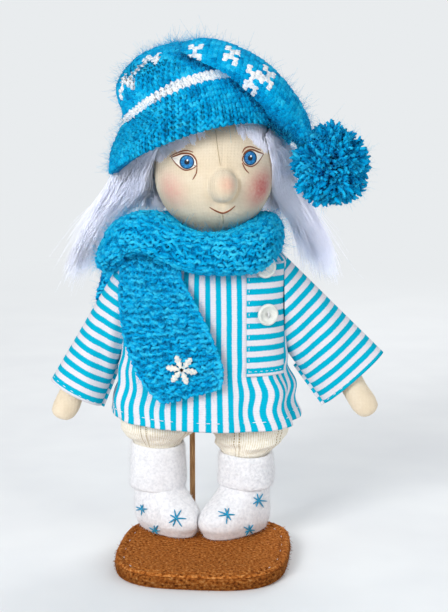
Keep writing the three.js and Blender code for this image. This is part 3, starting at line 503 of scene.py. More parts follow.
def painted_shade_below(finish, colour):
    """Painted shade: the stand's side is drawn darker than its top, where less light falls."""
    level = finish.add("ShaderNodeSeparateXYZ", {0: finish.coordinates()}).outputs[2]
    dark = finish.mix(1.0, colour, tone("cfcfcf"), "MULTIPLY")
    return finish.mix(finish.range(level, EDGE_LOW * MM, EDGE_HIGH * MM), dark, colour)


def felt_finish():
    felt = Finish("brown_felt", 0.95, specular=0.05)
    grain = felt.noise(1.5, 3)
    patch = felt.noise(14)
    rows = felt.wave(1.25, "Y", distortion=5.0)
    loops = felt.math("ADD", grain, felt.scaled(rows, 0.08))
    ground = felt.ramp(loops, [(0.36, "4a2109"), (0.5, "9c5520"), (0.62, "bf7838"), (0.78, "e0a464")])
    felt.colour(painted_shade_below(felt, felt.mix(felt.scaled(patch, 0.3), ground, tone("a65c26"))))
    felt.bump(loops, 1.0)
    return felt.material


def felt_fibre_finish():
    fibre = Finish("felt_fibre", 0.9, specular=0.05)
    fibre.colour(painted_shade_below(fibre, fibre.ramp(fibre.noise(1.2), [(0.35, "7d3f18"), (0.65, "d08744")])))
    return fibre.material


def wood_finish():
    wood = Finish("dowel_wood", 0.6)
    stretched = wood.add("ShaderNodeMapping", {"Vector": wood.coordinates(), "Scale": (1, 1, 0.06)})
    grain = wood.noise(0.5, 4, stretched.outputs[0])
    wood.colour(wood.ramp(grain, [(0.3, "8f6136"), (0.55, "c29360"), (0.8, "dcb581")]))
    wood.bump(grain, 0.1)
    return wood.material


def weave(finish, pitch):
    """Crossed threads of a plain weave with uneven yarn, as a height."""
    upright = finish.wave(pitch, "X", distortion=0.6)
    level = finish.wave(pitch, "Z", distortion=0.6)
    return finish.math("ADD", finish.math("MAXIMUM", upright, level), finish.noise(0.9, 3))


def linen_finish(name, blushes=()):
    """Plain linen, with soft spots of colour where a place, radius, strength and code are given."""
    linen = Finish(name, 0.85, sheen=0.15, specular=0.2)
    threads = weave(linen, 0.75)
    stain = linen.noise(9, 3)
    value = linen.math("ADD", linen.scaled(threads, 0.25), linen.scaled(stain, 0.5))
    ground = linen.ramp(value, [(0.25, "dfccad"), (0.6, "f0dfc4"), (0.85, "f8ebd5")])
    for place, radius, strength, code in blushes:
        ends = {0: linen.coordinates(), 1: Vector(place) * MM}
        away = linen.add("ShaderNodeVectorMath", ends, operation="DISTANCE").outputs["Value"]
        soft = linen.range(away, 0.0, radius * MM, strength, 0.0, smooth=True)
        patchy = linen.scaled(soft, linen.math("ADD", linen.noise(1.6, 3), 0.5))
        ground = linen.mix(patchy, ground, tone(code))
    linen.colour(ground)
    linen.bump(threads, 0.23, 0.9)
    return linen.material


RIB_PITCH = 1.25
OPENWORK_PITCH = 24
OPENWORK_APART = 0.06
OPENWORK_HALF_WIDTH = 0.012
OPENWORK_STEP = 1.2


def rib_finish():
    """Fine ribs of a knit, with dotted pairs of openwork lines between them."""
    rib = Finish("rib_knit", 0.95, sheen=0.1, specular=0.1)
    cloth = rib.add("ShaderNodeSeparateXYZ", {0: rib.coordinates("UV")})
    place = rib.math("FRACT", rib.math("DIVIDE", cloth.outputs[0], OPENWORK_PITCH * MM))
    from_pair = rib.math("ABSOLUTE", rib.math("SUBTRACT", place, 0.5))
    from_line = rib.math("ABSOLUTE", rib.math("SUBTRACT", from_pair, OPENWORK_APART))
    line = rib.math("LESS_THAN", from_line, OPENWORK_HALF_WIDTH)
    step = rib.math("FRACT", rib.math("DIVIDE", cloth.outputs[1], OPENWORK_STEP * MM))
    holes = rib.scaled(line, rib.math("GREATER_THAN", step, 0.4))
    ribs = rib.wave(RIB_PITCH, "X", rib.coordinates("UV"), 0.4)
    value = rib.math("ADD", rib.scaled(ribs, 0.35), rib.scaled(rib.noise(1.3, 3), 0.7))
    ground = rib.ramp(value, [(0.3, "e2d7be"), (0.55, "f5eedf"), (0.8, "fdf9f0")])
    rib.colour(rib.mix(holes, ground, tone("b39a6c")))
    rib.bump(rib.math("SUBTRACT", value, holes), 0.4)
    return rib.material


def fleece_finish():
    fleece = Finish("white_fleece", 0.95, sheen=0.2, specular=0.08)
    tufts = fleece.noise(1.5, 4)
    fleece.colour(fleece.ramp(tufts, [(0.3, "dddee2"), (0.5, "ebebee"), (0.7, "f4f4f6")]))
    fleece.bump(tufts, 0.4, 0.6)
    return fleece.material


STRIPE_PITCH = 5.9
STRIPE_SHARE = 0.51
STRIPE_BLUR = 0.03
COTTON_THREAD = 0.55


def stripe_finish():
    """White cotton with printed stripes, counted along the first texture coordinate."""
    cotton = Finish("striped_cotton", 0.85, specular=0.05)
    cloth = cotton.add("ShaderNodeSeparateXYZ", {0: cotton.coordinates("UV")})
    edge = cotton.scaled(cotton.math("SUBTRACT", cotton.noise(0.7, 3), 0.5), 0.12)
    place = cotton.math("ADD", cotton.math("DIVIDE", cloth.outputs[0], STRIPE_PITCH * MM), edge)
    beside = cotton.math("ABSOLUTE", cotton.math("SUBTRACT", cotton.math("FRACT", place), 0.5))
    half = STRIPE_SHARE / 2
    stripe = cotton.range(beside, half - STRIPE_BLUR, half + STRIPE_BLUR, 1.0, 0.0)
    u = cotton.wave(COTTON_THREAD, "X", cotton.coordinates("UV"))
    v = cotton.wave(COTTON_THREAD, "Y", cotton.coordinates("UV"))
    threads = cotton.math("ADD", cotton.math("MAXIMUM", u, v), cotton.noise(1.1, 4))
    white = cotton.ramp(threads, [(0.6, "c9c5cd"), (1.1, "e5e2e8")])
    turquoise = cotton.ramp(threads, [(0.6, "0093b2"), (1.1, "02b2d0")])
    cotton.colour(cotton.mix(stripe, white, turquoise))
    cotton.bump(threads, 0.12, 0.7)
    return cotton.material


def yarn_finish():
    """Brushed blue yarn; each point's shade and whiteness come from the stitch that it belongs to."""
    yarn = Finish("blue_yarn", 0.9, sheen=0.02, specular=0.03)
    shade = yarn.stored("shade")
    white = yarn.stored("white")
    hairs = yarn.noise(0.5, 4)
    clumps = yarn.noise(5, 2)
    value = yarn.math("ADD", yarn.scaled(shade, 0.45), yarn.scaled(hairs, 0.75))
    value = yarn.math("ADD", value, yarn.scaled(yarn.math("SUBTRACT", clumps, 0.5), 0.5))
    blue = yarn.ramp(value, [(0.14, "003c68"), (0.42, "008ac6"), (0.62, "00ade2"), (0.92, "38d0f4")])
    cream = yarn.ramp(value, [(0.12, "7fa9c6"), (0.4, "e3e8ee"), (0.65, "f6f7f8")])
    yarn.colour(yarn.mix(white, blue, cream))
    yarn.bump(hairs, 0.4)
    return yarn.material


def hair_finish():
    """White mohair: light also passes through the strands from behind."""
    hair = Finish("white_hair", 0.5, sheen=0.1, specular=0.3)
    value = hair.math("ADD", hair.scaled(hair.stored("shade"), 0.6), hair.scaled(hair.noise(6), 0.4))
    white = hair.ramp(value, [(0.1, "b9bdc8"), (0.45, "e2e4ea"), (0.8, "f8f8fa")])
    hair.colour(white)
    through = hair.add("ShaderNodeBsdfTranslucent", {"Color": tone("a6a6ac")})
    both = hair.add("ShaderNodeAddShader", {0: hair.shader.outputs[0], 1: through.outputs[0]})
    hair.show(both)
    return hair.material


def plain_thread(name, dark, light, roughness=0.6):
    thread = Finish(name, roughness, sheen=0.2)
    strands = thread.noise(0.35, 3)
    thread.colour(thread.ramp(strands, [(0.3, dark), (0.7, light)]))
    thread.bump(strands, 0.1)
    return thread.material


def pearl_finish():
    pearl = Finish("pearl_button", 0.28, specular=0.5)
    pearl.colour(pearl.ramp(pearl.noise(2.2, 3), [(0.3, "cdd2cc"), (0.55, "dfe1da"), (0.8, "ebe9e3")]))
    pearl.bump(pearl.noise(1.5, 2), 0.04)
    pearl.shader.inputs["Coat Weight"].default_value = 0.3
    return pearl.material


def iris_finish():
    """Painted iris: its first texture coordinate runs round, its second outwards."""
    iris = Finish("painted_iris", 0.4)
    place = iris.coordinates("UV")
    streaked = iris.add("ShaderNodeMapping", {"Vector": place, "Scale": (34, 2, 1)})
    streak_sockets = {"Vector": streaked.outputs[0], "Scale": 1.0, "Detail": 2.0}
    streaks = iris.add("ShaderNodeTexNoise", streak_sockets).outputs["Fac"]
    from_middle = iris.add("ShaderNodeSeparateXYZ", {0: place}).outputs[1]
    blue = iris.ramp(streaks, [(0.3, "064a86"), (0.5, "1272b2"), (0.72, "48a3d4")])
    pupil = "16222e"
    clear = "ffffff"
    rim_stops = [(0.0, pupil), (0.34, pupil), (0.4, clear), (0.76, clear), (0.92, "12283c")]
    rim = iris.ramp(from_middle, rim_stops)
    iris.colour(iris.mix(1.0, blue, rim, "MULTIPLY"))
    return iris.material


felt = felt_finish()
felt_fibre = felt_fibre_finish()
linen = linen_finish("linen")
rib_knit = rib_finish()
fleece = fleece_finish()
striped_cotton = stripe_finish()
blue_yarn = yarn_finish()
white_hair = hair_finish()
white_thread = plain_thread("white_thread", "d9d9dc", "f8f8f8")
star_thread = plain_thread("star_thread", "007aa4", "10a2cc", 0.5)
pearl = pearl_finish()
snow_felt = plain_thread("snow_felt", "e6ddcf", "f8f1e6", 0.9)
face_paint = plain_thread("brown_paint", "632c0e", "9a501c", 0.5)
eye_white = plain_thread("eye_white", "efe9dc", "fbf7ee", 0.5)
glint = plain_thread("eye_glint", "f4f8fb", "ffffff", 0.3)
iris_paint = iris_finish()
seam_thread = plain_thread("seam_thread", "a8946c", "c4b08a")
wood = wood_finish()


# Stuffed pieces
SMOOTH_SHARE = 0.5
CLOTH_FRAMES = 12
CLOTH_QUALITY = 4
# How each kind of piece is remeshed, smoothed and blown up
STUFFED = {
    "torso": {"voxel": 2.6, "rounds": 8, "pressure": 2, "limit": 0.2},
    "leg": {"voxel": 2.4, "rounds": 8, "pressure": 2, "limit": 0.2},
    "boot": {"voxel": 1.3, "rounds": 14, "pressure": 3, "limit": 0.4},
    "arm": {"voxel": 1.3, "rounds": 8, "pressure": 3, "limit": 0.5},
}


def puffed(name, nodes, material, voxel, rounds, pressure, limit):
    """A stuffed skin: solids remeshed as one, blown up as cloth within a limit, and subdivided."""
    parts = []
    for node in nodes:
        solid = frame["nodes"][node]
        solid.data.calc_loop_triangles()
        parts.append((vertex_places(solid), np.array([t.vertices for t in solid.data.loop_triangles])))
    made = make_object(name, *joined(parts), material)
    remesh(made, voxel, rounds)
    blow_up(made, pressure, limit)
    subdivide(made)
    return made


def bake_modifiers(made):
    """The modifiers' result becomes the mesh."""
    depsgraph = bpy.context.evaluated_depsgraph_get()
    mesh = bpy.data.meshes.new_from_object(made.evaluated_get(depsgraph))
    made.modifiers.clear()
    made.data = mesh
    shade_smooth(mesh)


def remesh(made, voxel, rounds):
    """One skin of even faces over a shape, smoothed in rounds."""
    skin = made.modifiers.new("skin", "REMESH")
    skin.mode = "VOXEL"
    skin.voxel_size = voxel * MM
    even = made.modifiers.new("even", "SMOOTH")
    even.factor = SMOOTH_SHARE
    even.iterations = rounds
    bake_modifiers(made)


def subdivide(made):
    finer = made.modifiers.new("finer", "SUBSURF")
    finer.levels = 1
    bake_modifiers(made)


def blow_up(made, pressure, limit):
    """A short run of Blender's cloth with air inside, each point held within a limit of its start."""
    start = vertex_places(made)
    cloth = made.modifiers.new("cloth", "CLOTH")
    cloth.settings.use_pressure = True
    cloth.settings.uniform_pressure_force = pressure
    cloth.settings.effector_weights.gravity = 0
    cloth.settings.quality = CLOTH_QUALITY
    scene = bpy.context.scene
    for step in range(CLOTH_FRAMES):
        scene.frame_set(step + 1)
    end = vertex_places(made.evaluated_get(bpy.context.evaluated_depsgraph_get()))
    made.modifiers.clear()
    scene.frame_set(1)
    move = end - start
    far = np.linalg.norm(move, axis=1, keepdims=True)
    move_vertices(made, start + move * np.minimum(1, limit / np.maximum(far, 1e-6)))


# Stand
BASE_HALF_WIDTH = 44.5
BASE_HALF_DEPTH = 47.5
BASE_TURN = math.radians(-6)
BASE_ROUNDING = 3.2
TOP_PILE = 14000
EDGE_PILE = 6000
PILE_LENGTH = 0.8
PILE_RADIUS = 0.19
BASE_SEAM_INSET = 3.9
BASE_SEAM_SUNK = 0.6


def base_ring(a, inset, level):
    """The stand's outline at a level, moved inwards by an inset."""
    across, deep = superellipse(a, BASE_ROUNDING)
    x = across * (BASE_HALF_WIDTH - inset)
    y = deep * (BASE_HALF_DEPTH - inset)
    turned_x = x * math.cos(BASE_TURN) - y * math.sin(BASE_TURN)
    turned_y = x * math.sin(BASE_TURN) + y * math.cos(BASE_TURN)
    return np.stack([turned_x, turned_y, level + 0 * x], -1)


def base_disc(name, profile, columns=144):
    """A felt disc with the stand's outline, over a profile of insets and levels."""
    a = np.arange(columns) / columns
    return lathe(name, [base_ring(a, inset, level) for inset, level in profile], felt)


def build_stand():
    body = "standing_doll"
    middle = BASE_HALF_WIDTH - 0.05
    top = BASE_TOP
    upper = [
        (middle, top), (middle - 0.4, top), (30, top + 0.1), (16, top), (6.4, top + 0.1), (4.9, top - 0.1),
        (BASE_SEAM_INSET, top - 0.9), (3.1, top - 0.3), (2.0, top + 0.5), (0.9, top + 0.5), (-0.1, top - 0.1),
        (-0.2, top - 0.8), (0.6, top - 1.3), (middle, top - 1.3),
    ]
    top_felt = dress(base_disc("base_top_cover", upper), body, "brown_felt", "base_top_felt")
    side = [
        (0.3, top - 1.2), (-0.3, top - 1.8), (-0.6, top - 3.4), (-0.4, 2.7), (0.4, 2.2), (-0.2, 1.6),
        (0, 1.2), (1.2, 1.2), (1.3, 3), (1.3, top - 1.4),
    ]
    side_felt = dress(base_disc("base_side_cover", side), body, "brown_felt", "base_side_felt")
    lower = [(middle, 1.2), (0.6, 1.1), (0, 0.6), (0.7, 0.1), (middle, 0)]
    bottom_felt = dress(base_disc("base_bottom_cover", lower), body, "brown_felt", "base_bottom_felt")
    roots, normals = scatter(top_felt, TOP_PILE, 1)
    edge_roots, edge_normals = scatter(side_felt, EDGE_PILE, 2)
    roots = np.concatenate([roots, edge_roots])
    normals = np.concatenate([normals, edge_normals])
    hairs = fibres(roots, normals, PILE_LENGTH, PILE_RADIUS, 1.0, 0.8, 3, 3)
    dress(make_object("base_felt_pile", *hairs, felt_fibre), body, "brown_felt")
    line = base_ring(np.linspace(0, 1, 200), BASE_SEAM_INSET, top - BASE_SEAM_SUNK)
    dress(running_stitch("base_seam_thread", line, *BASE_STITCH), body, "brown_felt")
    for name in ("base_board", "support_dowel"):
        node = frame["nodes"][name]
        node.data.materials.clear()
        node.data.materials.append(wood)


def build_torso():
    torso = puffed("stuffed_torso", ["torso"], linen, **STUFFED["torso"])
    dress(torso, "standing_doll", "linen", "torso")


# Legs and boots
# Stars on the boots: the pixel of each one's middle in the photograph and its size in pixels
STARS = {
    "right": [((142.8, 508.8), 6.0), ((176.3, 518.4), 9.2), ((155, 530), 6.2)],
    "left": [((227.2, 514.7), 8.8), ((258.2, 500.4), 7.6), ((248.9, 529.6), 6.4)],
}
STAR_ARMS = 7
STAR_THREAD = 0.4 * np.array([0.6, 1, 1.1, 1, 0.9, 0.4])
STAR_HEIGHT = 0.5
BOOT_NAP = 12000
CUFF_NAP = 10000
NAP_LENGTH = 0.8
NAP_RADIUS = 0.05
# How far each cuff's top and lower edge lie over those of the solid
CUFF_RISE = {"left": 2.0, "right": 6.0}
CUFF_HEM_RISE = {"left": 4.2, "right": 1.4}


def star_paths(tree, pixel, size, seed):
    """Stitches of a star that cross near its centre, laid on a boot as the photograph shows them."""
    rng = np.random.default_rng(seed)
    centre = seen_at(tree, *pixel)
    paths = []
    for arm in range(STAR_ARMS):
        angle = TURN * (arm / STAR_ARMS + 0.03 * rng.normal())
        reach = size * rng.uniform(0.75, 1.1)
        path = []
        aim = np.array([math.cos(angle), math.sin(angle)])
        for share in np.linspace(-0.1, 1, len(STAR_THREAD)):
            place = seen_at(tree, *(pixel + reach * share * aim))
            if place is None or np.linalg.norm(place - centre) > 2 * size:
                place = path[-1] if path else centre
            path.append(seated(tree, place, STAR_HEIGHT))
        paths.append(path)
    return np.array(paths)


def build_leg(side):
    body = "standing_doll"
    leg = puffed(f"{side}_stuffed_leg", [f"{side}_leg"], linen, **STUFFED["leg"])
    dress(leg, body, "linen", f"{side}_leg")
    boot_nodes = [f"{side}_boot", f"{side}_boot_sole"]
    boot = puffed(f"{side}_fleece_boot", boot_nodes, fleece, **STUFFED["boot"])
    dress(boot, body, "fleece", *boot_nodes)
    cuff = build_cuff(side)
    for piece, count, seed in ((boot, BOOT_NAP, 5), (cuff, CUFF_NAP, 6)):
        roots, normals = scatter(piece, count, seed)
        nap = fibres(roots, normals, NAP_LENGTH, NAP_RADIUS, 0.9, 0.6, seed, 4)
        dress(make_object(f"{piece.name}_nap", *nap, fleece), body, "fleece")
    tree = nearest_tree(boot)
    stars = [star_paths(tree, pixel, size, seed) for seed, (pixel, size) in enumerate(STARS[side])]
    paths = np.concatenate(stars)
    stitches = tubes(paths, STAR_THREAD * np.ones((len(paths), 1)), 6)
    dress(make_object(f"{side}_boot_stars", *stitches, star_thread), body, "blue_knit")


def build_cuff(side):
    """The turned-down top of a boot: a soft band, a little wider at its lower edge."""
    low, high = node_box(f"{side}_boot_cuff")
    centre = (low + high) / 2
    radius = (high[0] - low[0]) / 2
    top = high[2] + CUFF_RISE[side]
    hem = low[2] + CUFF_HEM_RISE[side]
    profile = [
        (0.84, hem + 1.5), (0.93, hem), (1.01, hem + 0.7), (1.03, hem + 3), (1.01, hem + 9),
        (0.98, top - 4), (0.96, top - 1.2), (0.91, top), (0.85, top - 1), (0.83, top - 5),
    ]
    columns = 72
    angle = TURN * np.arange(columns) / columns
    rings = []
    for share, level in profile:
        soft = 1 + 0.012 * np.sin(3 * angle + level / 3) + 0.01 * np.sin(7 * angle + 1)
        wave = 0.5 * np.sin(2 * angle + 0.6)
        x = centre[0] + radius * share * soft * np.cos(angle)
        y = centre[1] + radius * share * soft * np.sin(angle)
        rings.append(np.stack([x, y, level + wave], -1))
    cuff = lathe(f"{side}_fleece_cuff", rings, fleece)
    subdivide(cuff)
    return dress(cuff, "standing_doll", "fleece", f"{side}_boot_cuff")


# Trousers
trouser_low, trouser_high = node_box("trousers")
TROUSER_HALF_WIDTH = 20.6
TROUSER_HALF_DEPTH = 18.6
TROUSER_SPREAD = 24.7
TROUSER_GATHER = 13.6
TROUSER_CLOTH = 1.0
TROUSER_LENGTH = 34
TROUSER_MESH = (200, 44)
SEAT_MESH = (180, 20)
SEAT_LOOSE = 2.4
SEAT_MEAN_RADIUS = 31


def trouser_leg(x, rise, cuff):
    """A puffed knitted leg, gathered at its lower end into the middle of the boot's cuff."""
    hem = trouser_low[2]
    rows = [
        (hem - 0.6, TROUSER_GATHER * 0.86, TROUSER_GATHER * 0.86),
        (hem + rise, TROUSER_GATHER * 0.98, TROUSER_GATHER * 0.98),
        (hem + rise + 2.5, TROUSER_HALF_WIDTH * 0.76, TROUSER_HALF_DEPTH * 0.8),
        (hem + rise + 6, TROUSER_HALF_WIDTH * 0.93, TROUSER_HALF_DEPTH * 0.94),
        (hem + 15, TROUSER_HALF_WIDTH, TROUSER_HALF_DEPTH),
        (hem + 21, TROUSER_HALF_WIDTH * 0.98, TROUSER_HALF_DEPTH * 0.98),
        (hem + 29, TROUSER_HALF_WIDTH * 0.84, TROUSER_HALF_DEPTH * 0.97),
    ]

    def surface(a, b):
        level, half_width, half_depth = np.moveaxis(along(rows, b), -1, 0)
        above = level - hem
        pucker = 0.4 * np.sin(TURN * 8 * a + 1.3 * x) * bell(above, 4, 4)
        crease = 0.6 * np.sin(TURN * (2 * a + 0.1 * above) + x) * bell(above, 8, 6)
        sag = 0.7 * np.sin(TURN * (4 * a - 0.13 * above) + 2 * x) * bell(above, 6, 5)
        grow = (pucker + crease + sag) * np.clip((above - rise) / 4, 0, 1)
        gathered = np.clip(1 - (above - rise) / 8, 0, 1)
        return np.stack([
            x + (cuff[0] - x) * gathered + (half_width + grow) * np.cos(TURN * a),
            DOLL_Y + (cuff[1] - DOLL_Y) * gathered + (half_depth + grow) * np.sin(TURN * a),
            level,
        ], -1)

    return surface


def build_trousers():
    body = "standing_doll"
    girth = TURN * TROUSER_HALF_DEPTH * 1.04
    for side, x in (("left", TROUSER_SPREAD), ("right", -TROUSER_SPREAD)):
        cuff = sum(node_box(f"{side}_boot_cuff")) / 2
        surface = trouser_leg(x, CUFF_RISE[side], cuff)
        name = f"{side}_trouser_leg"
        leg = tube_cloth(name, surface, *TROUSER_MESH, TROUSER_CLOTH, rib_knit, girth, TROUSER_LENGTH, False)
        dress(leg, body, "rib_knit")
    bottom = HEM + 3
    length = trouser_high[2] - bottom

    def seat_surface(a, b):
        narrow = 0.84 + 0.16 * np.clip(b * 2, 0, 1) ** 0.5
        return np.stack([
            narrow * (torso_high[0] + SEAT_LOOSE) * np.cos(TURN * a),
            DOLL_Y + narrow * (torso_high[1] - DOLL_Y + SEAT_LOOSE) * np.sin(TURN * a),
            bottom + b * length,
        ], -1)

    seat_girth = TURN * SEAT_MEAN_RADIUS
    seat = tube_cloth(
        "trouser_seat", seat_surface, *SEAT_MESH, TROUSER_CLOTH, rib_knit, seat_girth, length, False
    )
    dress(seat, body, "rib_knit", "trousers")


# Shirt: each row holds its height share, half width, half depth, rounding and depth of folds
SHIRT_ROWS = np.array([
    (0.0, 48.6, 28.4, 3.0, 1.0),
    (0.19, 46.3, 27.4, 3.0, 0.7),
    (0.4, 44.0, 27.0, 3.0, 0.25),
    (0.62, 44.0, 26.0, 3.0, 0.05),
    (0.84, 44.0, 22.4, 2.9, 0.0),
    (0.91, 42.6, 18.2, 2.6, 0.0),
    (0.95, 35.2, 15.1, 2.2, 0.0),
    (0.985, 16.9, 13.1, 2.0, 0.0),
    (1.0, 12.5, 12.5, 2.0, 0.0),
])
SHIRT_GIRTH = 248
SHIRT_CLOTH = 0.8
SHIRT_MESH = (320, 90)
# The stripes near the sides bend by the slip, once in the length of a wave
SHIRT_SLIP = 1.2
SHIRT_WAVE = 20.0
# Share of the turn at the middle of the front, and where a stripe of the front lies
FRONT_TURN = 0.75
FRONT_STRIPE_X = 8.0
HEM_SEAM = 0.043
HEM_SEAM_HEIGHT = 0.12
GIRTH_STEPS = 721


def shirt_surface(a, b):
    """The shirt from its hem up, by the share of the turn: folds grow towards the hem."""
    share, half_width, half_depth, power, fold = np.moveaxis(along(SHIRT_ROWS, b), -1, 0)
    low = np.clip(1 - share / 0.5, 0, 1)
    beside = np.cos(TURN * a) ** 2
    across, deep = superellipse(a, power)
    level = HEM + share * (COLLAR - HEM)
    soft = np.sin(TURN * (2.5 * a + 0.4 * share)) + 0.8 * np.sin(TURN * (6 * a - 0.9 * share) + 0.8)
    pleat = np.cos(TURN * 8 * a + 2.2 * share) + 0.6 * np.cos(TURN * 13 * a - 3 * share)
    hang = 1.4 * beside * np.sin(TURN * (9 * a + 1.4 * share)) * np.sqrt(low)
    wave = 1 + (fold * pleat + 0.9 * low * soft + hang) / 44
    droop = 1.5 * np.maximum(0, -np.sin(TURN * a)) * low
    rise = (1.9 - 1.6 * across + 2.2 * across ** 2) * low
    slack = np.clip((np.abs(across) - 0.3) / 0.3, 0, 1) * np.clip((0.44 - share) / 0.14, 0, 1)
    slip = SHIRT_SLIP * (0.75 + 0.25 * across) * slack * np.cos(TURN * (level - HEM) / SHIRT_WAVE)
    x = across * half_width * wave + slip
    y = DOLL_Y + deep * half_depth * wave
    return np.stack([x, y, level - droop + rise], -1)


def shirt_front(x, level):
    """Depth of the shirt's front at a place across it and a level."""
    rows = along(SHIRT_ROWS, np.linspace(0, 1, 160))
    share = np.clip((level - HEM) / (COLLAR - HEM), 0, 1)
    half_width, half_depth, power = (np.interp(share, rows[:, 0], rows[:, k]) for k in (1, 2, 3))
    beside = np.clip(np.abs(x) / half_width, 0, 0.985)
    return DOLL_Y - half_depth * (1 - beside ** power) ** (1 / power)


def girth_walk():
    """Shares of the shirt's girth walked at even steps of the turn, because its corners crowd points."""
    a = np.linspace(0, 1, GIRTH_STEPS)
    ring = shirt_surface(a, np.full_like(a, 0.5))
    walk = walked(ring)
    return a, walk / walk[-1]


TURN_SHARES, GIRTH_SHARES = girth_walk()
EVEN_TURNS = np.interp(TURN_SHARES, GIRTH_SHARES, TURN_SHARES)


def shirt_cloth(a, b):
    """The shirt's surface, by even steps along its girth."""
    return shirt_surface(np.interp(a % 1.0, TURN_SHARES, EVEN_TURNS), b)


def build_shirt():
    body = "standing_doll"
    length = COLLAR - HEM
    shirt = tube_cloth(
        "shirt", shirt_cloth, *SHIRT_MESH, SHIRT_CLOTH, striped_cotton, SHIRT_GIRTH, length, False
    )
    shift = (SHIRT_GIRTH * FRONT_TURN + FRONT_STRIPE_X - STRIPE_PITCH / 2) % STRIPE_PITCH
    set_uv(shirt, get_uv(shirt) - (shift * MM, 0))
    dress(shirt, body, "striped_cotton", "shirt_body")
    a = np.linspace(0, 1, 400)
    hem_line = lifted(shirt_cloth, a, np.full_like(a, HEM_SEAM), HEM_SEAM_HEIGHT)
    seam = running_stitch("shirt_hem_thread", hem_line, *HEM_STITCH)
    dress(seam, body, "striped_cotton")


# Sleeves
SLEEVES = {
    "left": {"side": 1, "lean": math.radians(42), "half_width": 21.0, "half_depth": 8.4},
    "right": {"side": -1, "lean": math.radians(28), "half_width": 15.2, "half_depth": 12.0},
}
SLEEVE_GIRTHS = {"left": 112.0, "right": 105.0}
SLEEVE_LENGTH = 56.8
SLEEVE_MESH = (120, 60)
SEAM_MESH = (4, 60)
ARMHOLE_ABOVE = 21.5
ARMHOLE_BELOW = 28.0
ARMHOLE_HALF_DEPTH = 15.0
ARMHOLE_SEAM = 2.0
# The seam under the sleeve: where it starts, its width, and the share of that width inside the sleeve
SEAM_START = 0.3
SEAM_WIDTH = 2.4
SEAM_INSIDE = 0.3
CUFF_SEAM = 0.965
CUFF_SEAM_HEIGHT = 0.1
# Two distances from the doll's middle, for each sleeve at its shoulder's level
SLEEVE_HELD = 40
SLEEVE_MOVES = 58


def sleeve_surface(side, lean, half_width, half_depth):
    """A sleeve from its armhole to its cuff; side is 1 for the doll's left and -1 for its right."""
    x, _, shoulder = joint_place("left_shoulder" if side > 0 else "right_shoulder")
    upper = np.array([x - side * ARMHOLE_SEAM, shoulder + ARMHOLE_ABOVE])
    lower = np.array([x - side * ARMHOLE_SEAM, shoulder - ARMHOLE_BELOW])
    run = np.array([side * math.sin(lean), -math.cos(lean)])
    across = np.array([side * math.cos(lean), math.sin(lean)])
    cuff = (upper + lower) / 2 + run * SLEEVE_LENGTH

    def surface(a, b):
        t = np.clip(b, -0.05, 1.05)[..., None]
        high = upper + (cuff + across * half_width - upper) * t
        low = lower + (cuff - across * half_width - lower) * t
        out = np.cos(TURN * a)
        deep = -side * np.sin(TURN * a)
        depth = ARMHOLE_HALF_DEPTH + (half_depth - ARMHOLE_HALF_DEPTH) * t[..., 0]
        wrinkle = 0.7 * np.sin(TURN * (1.7 * t[..., 0] + 0.6 * out)) * np.sin(math.pi * t[..., 0])
        plane = (high + low) / 2 + (high - low) / 2 * out[..., None]
        return np.stack([plane[..., 0], DOLL_Y + (depth + wrinkle) * deep, plane[..., 1]], -1)

    return surface


def build_sleeve(side):
    surface = sleeve_surface(**SLEEVES[side])
    sign = SLEEVES[side]["side"]
    lean = SLEEVES[side]["lean"]
    girth = SLEEVE_GIRTHS[side]
    name = f"{side}_sleeve_cloth"
    cut = (girth, SLEEVE_LENGTH)
    sleeve = tube_cloth(name, surface, *SLEEVE_MESH, SHIRT_CLOTH, striped_cotton, *cut, True)
    along_sleeve = np.array([sign * math.sin(lean), 0, -math.cos(lean)])
    inward = np.array([-sign * math.cos(lean), 0, -math.sin(lean)])

    def seam_surface(a, b):
        edge_place = surface(np.full_like(b, 0.5), SEAM_START + (1 - SEAM_START) * b)
        return edge_place + ((a - SEAM_INSIDE) * SEAM_WIDTH)[..., None] * inward - (0, SHIRT_CLOTH, 0)

    name = f"{side}_sleeve_seam"
    strip = (SEAM_WIDTH, SLEEVE_LENGTH * (1 - SEAM_START))
    seam = flat_cloth(name, seam_surface, *SEAM_MESH, SHIRT_CLOTH, striped_cotton, *strip, True)
    stripe_by_axis(seam, along_sleeve, STRIPE_PITCH / 2)
    stripe_by_axis(sleeve, along_sleeve, 0)
    edge = np.linspace(0, 1, 200)
    cuff_line = lifted(surface, edge, np.full_like(edge, CUFF_SEAM), CUFF_SEAM_HEIGHT)
    cuff = running_stitch(f"{side}_cuff_thread", cuff_line, *CUFF_STITCH)
    _, _, shoulder = joint_place(f"{side}_shoulder")
    start = np.array([sign * SLEEVE_HELD, DOLL_Y, shoulder])
    end = np.array([sign * SLEEVE_MOVES, DOLL_Y, shoulder])
    for piece in (sleeve, seam, cuff):
        bend(piece, "standing_doll", f"{side}_arm", start, end, "striped_cotton")
    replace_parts(sleeve, f"{side}_sleeve")


def stripe_by_axis(made, axis, shift):
    """Stripes in even steps along a direction, so that they run level with a sleeve's cuff."""
    corners = np.zeros(len(made.data.loops), np.int32)
    made.data.loops.foreach_get("vertex_index", corners)
    uv = get_uv(made)
    uv[:, 0] = (vertex_places(made) @ axis + shift)[corners] * MM
    set_uv(made, uv)


# How far each hand is bent away from the solid's straight arm
HAND_BEND = {"left": (3.2, 0, 0.5), "right": (-2.6, 0, 4.4)}


def build_arm(side):
    arm = puffed(f"{side}_stuffed_arm", [f"{side}_arm"], linen, **STUFFED["arm"])
    place = vertex_places(arm)
    drop = joint_place(f"{side}_shoulder")[2] - place[:, 2]
    share = np.clip(drop / drop.max(), 0, 1)[:, None]
    move_vertices(arm, place + np.array(HAND_BEND[side]) * share ** 2)
    dress(arm, f"{side}_arm", "linen", f"{side}_arm")


